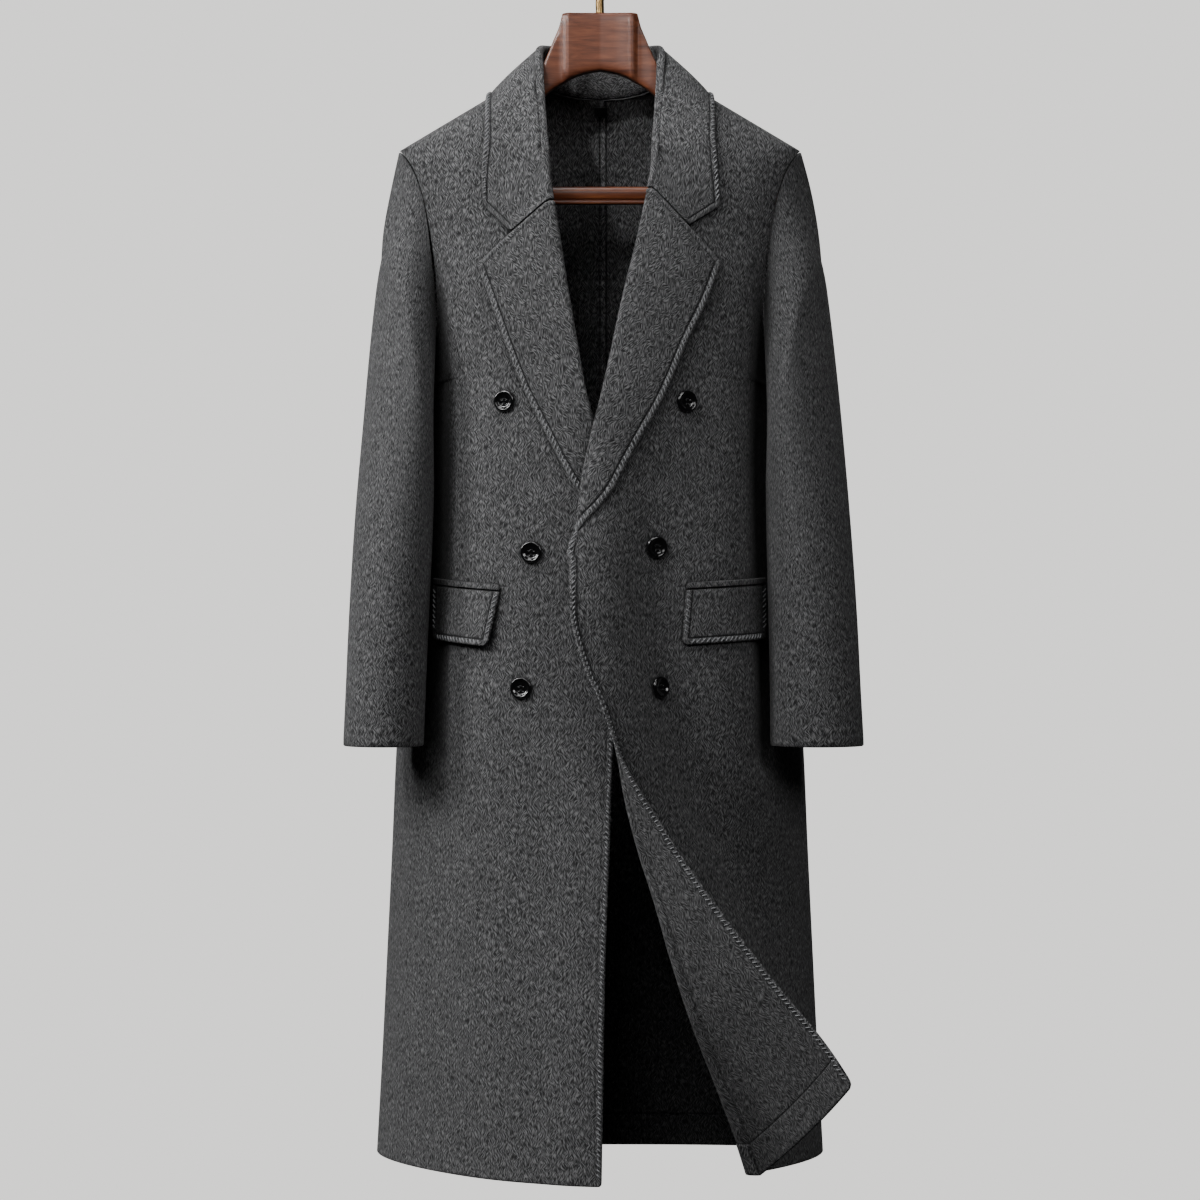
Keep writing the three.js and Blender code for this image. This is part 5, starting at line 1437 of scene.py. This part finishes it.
def wool_material(name, dark, middle, light, painted_groove_shade):
    material, tree = new_material(name)
    cut_place = add_node(tree, "ShaderNodeUVMap", uv_map="cloth").outputs["UV"]
    bend = noise(tree, cut_place, 1 / lock_bend, 1)
    centred = vector_math(tree, "SUBTRACT", bend.outputs["Color"], (0.5, 0.5, 0.5))
    push = vector_math(tree, "SCALE", centred, lock_push)
    bent = vector_math(tree, "ADD", cut_place, push)
    locks = []
    for lean in (-lock_lean, lock_lean):
        turned = add_node(tree, "ShaderNodeMapping", {"Vector": bent}, vector_type="POINT")
        turned.inputs["Rotation"].default_value = (0, 0, math.radians(lean))
        shrink = (1 / lock_width, 1 / lock_length, 1)
        stretched = vector_math(tree, "MULTIPLY", turned.outputs["Vector"], shrink)
        locks.append(noise(tree, stretched, 1, 1.2, Roughness=0.4).outputs["Fac"])
    patches = noise(tree, cut_place, 1 / patch_size, 0)
    side = map_range(tree, patches.outputs["Fac"], 0.45, 0.55, interpolation_type="SMOOTHSTEP")
    nap = add_node(tree, "ShaderNodeMix", {"Factor": side, "A": locks[0], "B": locks[1]}, data_type="FLOAT")
    tone = add_node(tree, "ShaderNodeValToRGB", {"Fac": nap.outputs["Result"]})
    set_ramp(tone, (0.37, dark), (0.5, middle), (0.63, light))
    cloud = noise(tree, cut_place, 1 / cloud_size, 2)
    uneven = map_range(tree, cloud.outputs["Fac"], 0.3, 0.7, 0.92, 1.08)
    clouded = vector_math(tree, "SCALE", tone.outputs["Color"], uneven)
    painted_shade_and_highlight = add_node(tree, "ShaderNodeAttribute", attribute_name="painted_shade_and_highlight").outputs["Fac"]
    # Painted highlight: the felled bands of the edges are lightened
    band_highlit = vector_math(tree, "SCALE", clouded, map_range(tree, painted_shade_and_highlight, -1, 0, painted_band_highlight, 1))
    # Painted shade: ambient occlusion darkens the colour in creases and where two layers meet, down to nearly
    # black
    occlusion_for_painted_shade = add_node(tree, "ShaderNodeAmbientOcclusion", samples=4, Distance=painted_shade_reach)
    depth = map_range(tree, occlusion_for_painted_shade.outputs["AO"], 0.4, 0.92, painted_crease_shade, 1)
    crease_shaded = vector_math(tree, "SCALE", band_highlit, depth)
    # Painted shade: along stitched grooves and seams the colour is mixed towards near black
    colour = add_node(tree, "ShaderNodeMix", {"Factor": painted_shade_and_highlight, "A": crease_shaded}, data_type="RGBA")
    colour.inputs["B"].default_value = linear(painted_groove_shade)
    bump = add_node(tree, "ShaderNodeBump", {"Height": nap.outputs["Result"]}, Strength=0.5,
                    Distance=pile_height)
    links = {"Base Color": colour.outputs["Result"], "Normal": bump.outputs["Normal"]}
    shader = add_node(tree, "ShaderNodeBsdfPrincipled", links, Roughness=0.92, IOR=1.5,
                      Specular_IOR_Level=0.25, Sheen_Weight=0.12, Sheen_Roughness=0.5)
    add_node(tree, "ShaderNodeOutputMaterial", {"Surface": shader.outputs["BSDF"]})
    return material


# The last colour is the painted shade in stitched grooves
wool = wool_material("charcoal_double_faced_wool", "#252526", "#484849", "#808081", "#202021")
print("wool nodes:", len(wool.node_tree.nodes))

# %% [markdown]
# ## Thread, horn, ribbon, wood and brass
# The thread is matt and a little lighter than the wool. The buttons are polished, so they show as small
# bright lights on black. The hanger is stained beech or mahogany under a clear gloss varnish: a thin hard
# coat over long brown grain. The hook is brass that has darkened where it isn't rubbed.

# %% The other materials


def plain_material(name, colour, **settings):
    material, tree = new_material(name)
    shader = add_node(tree, "ShaderNodeBsdfPrincipled", Base_Color=linear(colour), **settings)
    add_node(tree, "ShaderNodeOutputMaterial", {"Surface": shader.outputs["BSDF"]})
    return material


def grained_material(name, scale, stops, roughness, coat, metallic=0.0):
    """A surface whose colour follows noise drawn out along the object, by the size of its streaks in mm."""
    material, tree = new_material(name)
    place = add_node(tree, "ShaderNodeTexCoord")
    shrink = [1 / (size * mm) for size in scale]
    stretched = vector_math(tree, "MULTIPLY", place.outputs["Object"], shrink)
    streaks = noise(tree, stretched, 1, 4, Roughness=0.6, Distortion=0.4)
    tone = add_node(tree, "ShaderNodeValToRGB", {"Fac": streaks.outputs["Fac"]})
    set_ramp(tone, *stops)
    shader = add_node(tree, "ShaderNodeBsdfPrincipled", {"Base Color": tone.outputs["Color"]},
                      Roughness=roughness, Metallic=metallic, Coat_Weight=coat, Coat_Roughness=0.22)
    add_node(tree, "ShaderNodeOutputMaterial", {"Surface": shader.outputs["BSDF"]})
    return material


thread_grey = plain_material("matching_sewing_thread", "#8C8D8F", Roughness=0.8)
horn = plain_material("polished_black_horn", "#0C0C0D", Roughness=0.14, Coat_Weight=1.0, Coat_Roughness=0.04)
black_thread = plain_material("black_sewing_thread", "#17171A", Roughness=0.7)
ribbon = plain_material("black_satin_ribbon", "#0E0E10", Roughness=0.38, Sheen_Weight=0.2)
brown_stops = [(0.3, "#4A2517"), (0.5, "#6A3A25"), (0.7, "#824C32")]
red_stops = [(0.3, "#3C1A0F"), (0.5, "#70391F"), (0.7, "#965530")]
brass_stops = [(0.35, "#7A6140"), (0.6, "#A5875A")]
mahogany = grained_material("varnished_mahogany", (70, 5, 5), brown_stops, roughness=0.42, coat=0.25)
bar_wood = grained_material("varnished_bar_wood", (90, 4, 4), red_stops, roughness=0.34, coat=0.7)
brass = grained_material("darkened_brass", (9, 9, 9), brass_stops, roughness=0.32, coat=0.0, metallic=1.0)
print("materials:", len(bpy.data.materials))

# %% [markdown]
# ## Putting the pieces on
# Each piece takes the place of its solid, rides on the one body and gets its material. For the cloth
# pieces the area of the cut is also worked out from the pattern's own cells, with its length, but
# neither is kept.

# %% Dress each piece


def dress(piece, material, node):
    """Gives a piece its material, and puts it in place of its solid."""
    piece.data.materials.append(material)
    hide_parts(node)
    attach(piece, "root")


least_side = 0.01


def declare_cut(wall, present=None, closed=False):
    """Works out the areas of a cloth piece's cells and the length of its cut in metres, from its middle
    surface, and keeps neither.
    """
    piece, outer, inner, _ = wall
    points = (outer + inner) / 2
    if closed:
        points = np.concatenate([points, points[:, :1]], 1)
    diagonals = np.cross(points[1:, 1:] - points[:-1, :-1], points[1:, :-1] - points[:-1, 1:])
    cells = np.linalg.norm(diagonals, axis=-1) / 2
    if present is not None:
        cells = cells * present
    # A welt shows less than 10 mm of its cut, which is the least side that can be stated
    length = max(column_lengths(points)[-1].max() * mm, least_side)


for piece in stitches.values():
    piece.data.materials.append(thread_grey)
    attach(piece, "root")
for side in ("left", "right"):
    front, back, sleeve = fronts[side], backs[side], sleeve_pieces[side]
    dress(front[0], wool, "front_" + side)
    dress(back[0], wool, "back_" + side)
    dress(sleeve[0], wool, "sleeve_" + side)
    dress(flaps[side][0], wool, "pocket_flap_" + side)
    dress(welts[side][0], wool, "pocket_welt_" + side)
    declare_cut(front, present=front_cells[side])
    declare_cut(back)
    declare_cut(sleeve, closed=True)
    declare_cut(flaps[side])
    declare_cut(welts[side])
dress(collar[0], wool, "collar")
declare_cut(collar)
for node, piece in buttons.items():
    dress(piece, horn, node)
    piece.data.materials.append(black_thread)
dress(hang_loop[0], ribbon, "hang_loop")
declare_cut(hang_loop)
dress(hanger_body, mahogany, "hanger_body")
dress(hanger_bar, bar_wood, "hanger_bar")
dress(hanger_hook, brass, "hanger_hook")

# %% [markdown]
# ## Studio
# The photograph has a flat pale ground without a shadow. The ground here is a wide round cove that glows
# evenly in a paper tone. Only the camera sees it: it lights nothing and shows in no gloss, as a wall far
# behind the coat wouldn't. A lit wall would need lamps of its own, and would catch the coat's shadow.

# %% Backdrop
cove_radius, cove_floor, cove_top, cove_bend = 7.0, -1.75, 9.0, 0.8
paper_glow = 2.05
profile = []
for bend in np.linspace(0, math.pi / 2, 9):
    profile.append((cove_radius - cove_bend + cove_bend * math.sin(bend),
                    cove_floor + cove_bend - cove_bend * math.cos(bend)))
profile.append((cove_radius, cove_top))
around = np.linspace(0, 2 * math.pi, 49)[:-1]
verts = [(r * math.cos(a), r * math.sin(a), z) for r, z in profile for a in around]
verts.append((0, 0, cove_floor))
index = np.arange(len(profile) * len(around)).reshape(len(profile), -1)
ahead = np.roll(index, -1, axis=1)
faces = np.stack([index[:-1], ahead[:-1], ahead[1:], index[1:]], -1).reshape(-1, 4).tolist()
faces += [(index.size, after, here) for after, here in zip(ahead[0].tolist(), index[0].tolist())]
backdrop_mesh = bpy.data.meshes.new("backdrop")
backdrop_mesh.from_pydata(verts, [], faces)
backdrop_mesh.shade_smooth()
backdrop = bpy.data.objects.new("backdrop", backdrop_mesh)
backdrop.visible_diffuse = False
backdrop.visible_glossy = False
backdrop.visible_shadow = False
bpy.context.scene.collection.objects.link(backdrop)
paper, tree = new_material("pale_backdrop_paper")
shader = add_node(tree, "ShaderNodeEmission", Strength=paper_glow, Color=linear("#D1D0CE"))
add_node(tree, "ShaderNodeOutputMaterial", {"Surface": shader.outputs["Emission"]})
backdrop_mesh.materials.append(paper)
print("backdrop faces:", len(faces))

# %% [markdown]
# ## Light
# The photograph's strong soft light comes from the left and fades across the coat. Three lamps share that
# side, from beside the coat to near the camera, so the folds stay clear and the shadows soft. Weak ones fill
# from the front and the right, one hangs above, one is for the back, and a narrow one reaches into the neck.

# %% Lamps


def hang_lamp(data, place, aim, watts):
    """Hangs a lamp at a place in metres and turns it to its aim."""
    data.energy = watts
    lamp = bpy.data.objects.new(data.name, data)
    lamp.location = place
    lamp.rotation_euler = (Vector(aim) - Vector(place)).to_track_quat("-Z", "Y").to_euler()
    bpy.context.scene.collection.objects.link(lamp)
    return lamp


def soft_light(name, place, aim, size, watts):
    data = bpy.data.lights.new(name, "AREA")
    data.shape = "RECTANGLE"
    data.size, data.size_y = size
    hang_lamp(data, place, aim, watts).visible_camera = False


middle, high = (0, 0, -0.7), (0, 0, -0.3)
soft_light("side_key", (-3.4, -0.8, 1.2), high, (0.7, 1.4), 72)
soft_light("key", (-2.5, -1.9, 1.6), high, (0.8, 1.0), 56)
soft_light("second_key", (-2.0, -2.7, 1.6), high, (0.9, 1.2), 18)
soft_light("front_fill", (-0.9, -4.2, 1.6), high, (1.6, 1.6), 20)
soft_light("side_fill", (2.2, -3.4, 1.4), high, (1.6, 1.6), 40)
soft_light("overhead", (-0.6, -1.4, 2.6), middle, (1.5, 1.5), 28)
soft_light("back_fill", (0.3, 3.6, 1.2), high, (1.8, 1.8), 60)
inside_neck = (0.02, 0.1, -0.18)
neck = bpy.data.lights.new("neck_spot", "SPOT")
neck.spot_size = math.radians(6.5)
neck.spot_blend = 1
neck.shadow_soft_size = 0.08
hang_lamp(neck, (-1.1, -2.7, 0.9), inside_neck, 130)
world = bpy.data.worlds.new("studio")
world.use_nodes = True
background = world.node_tree.nodes["Background"]
background.inputs["Color"].default_value = linear("#DADADA")
background.inputs["Strength"].default_value = 0.02
bpy.context.scene.world = world
print("lamps:", len(bpy.data.lights))
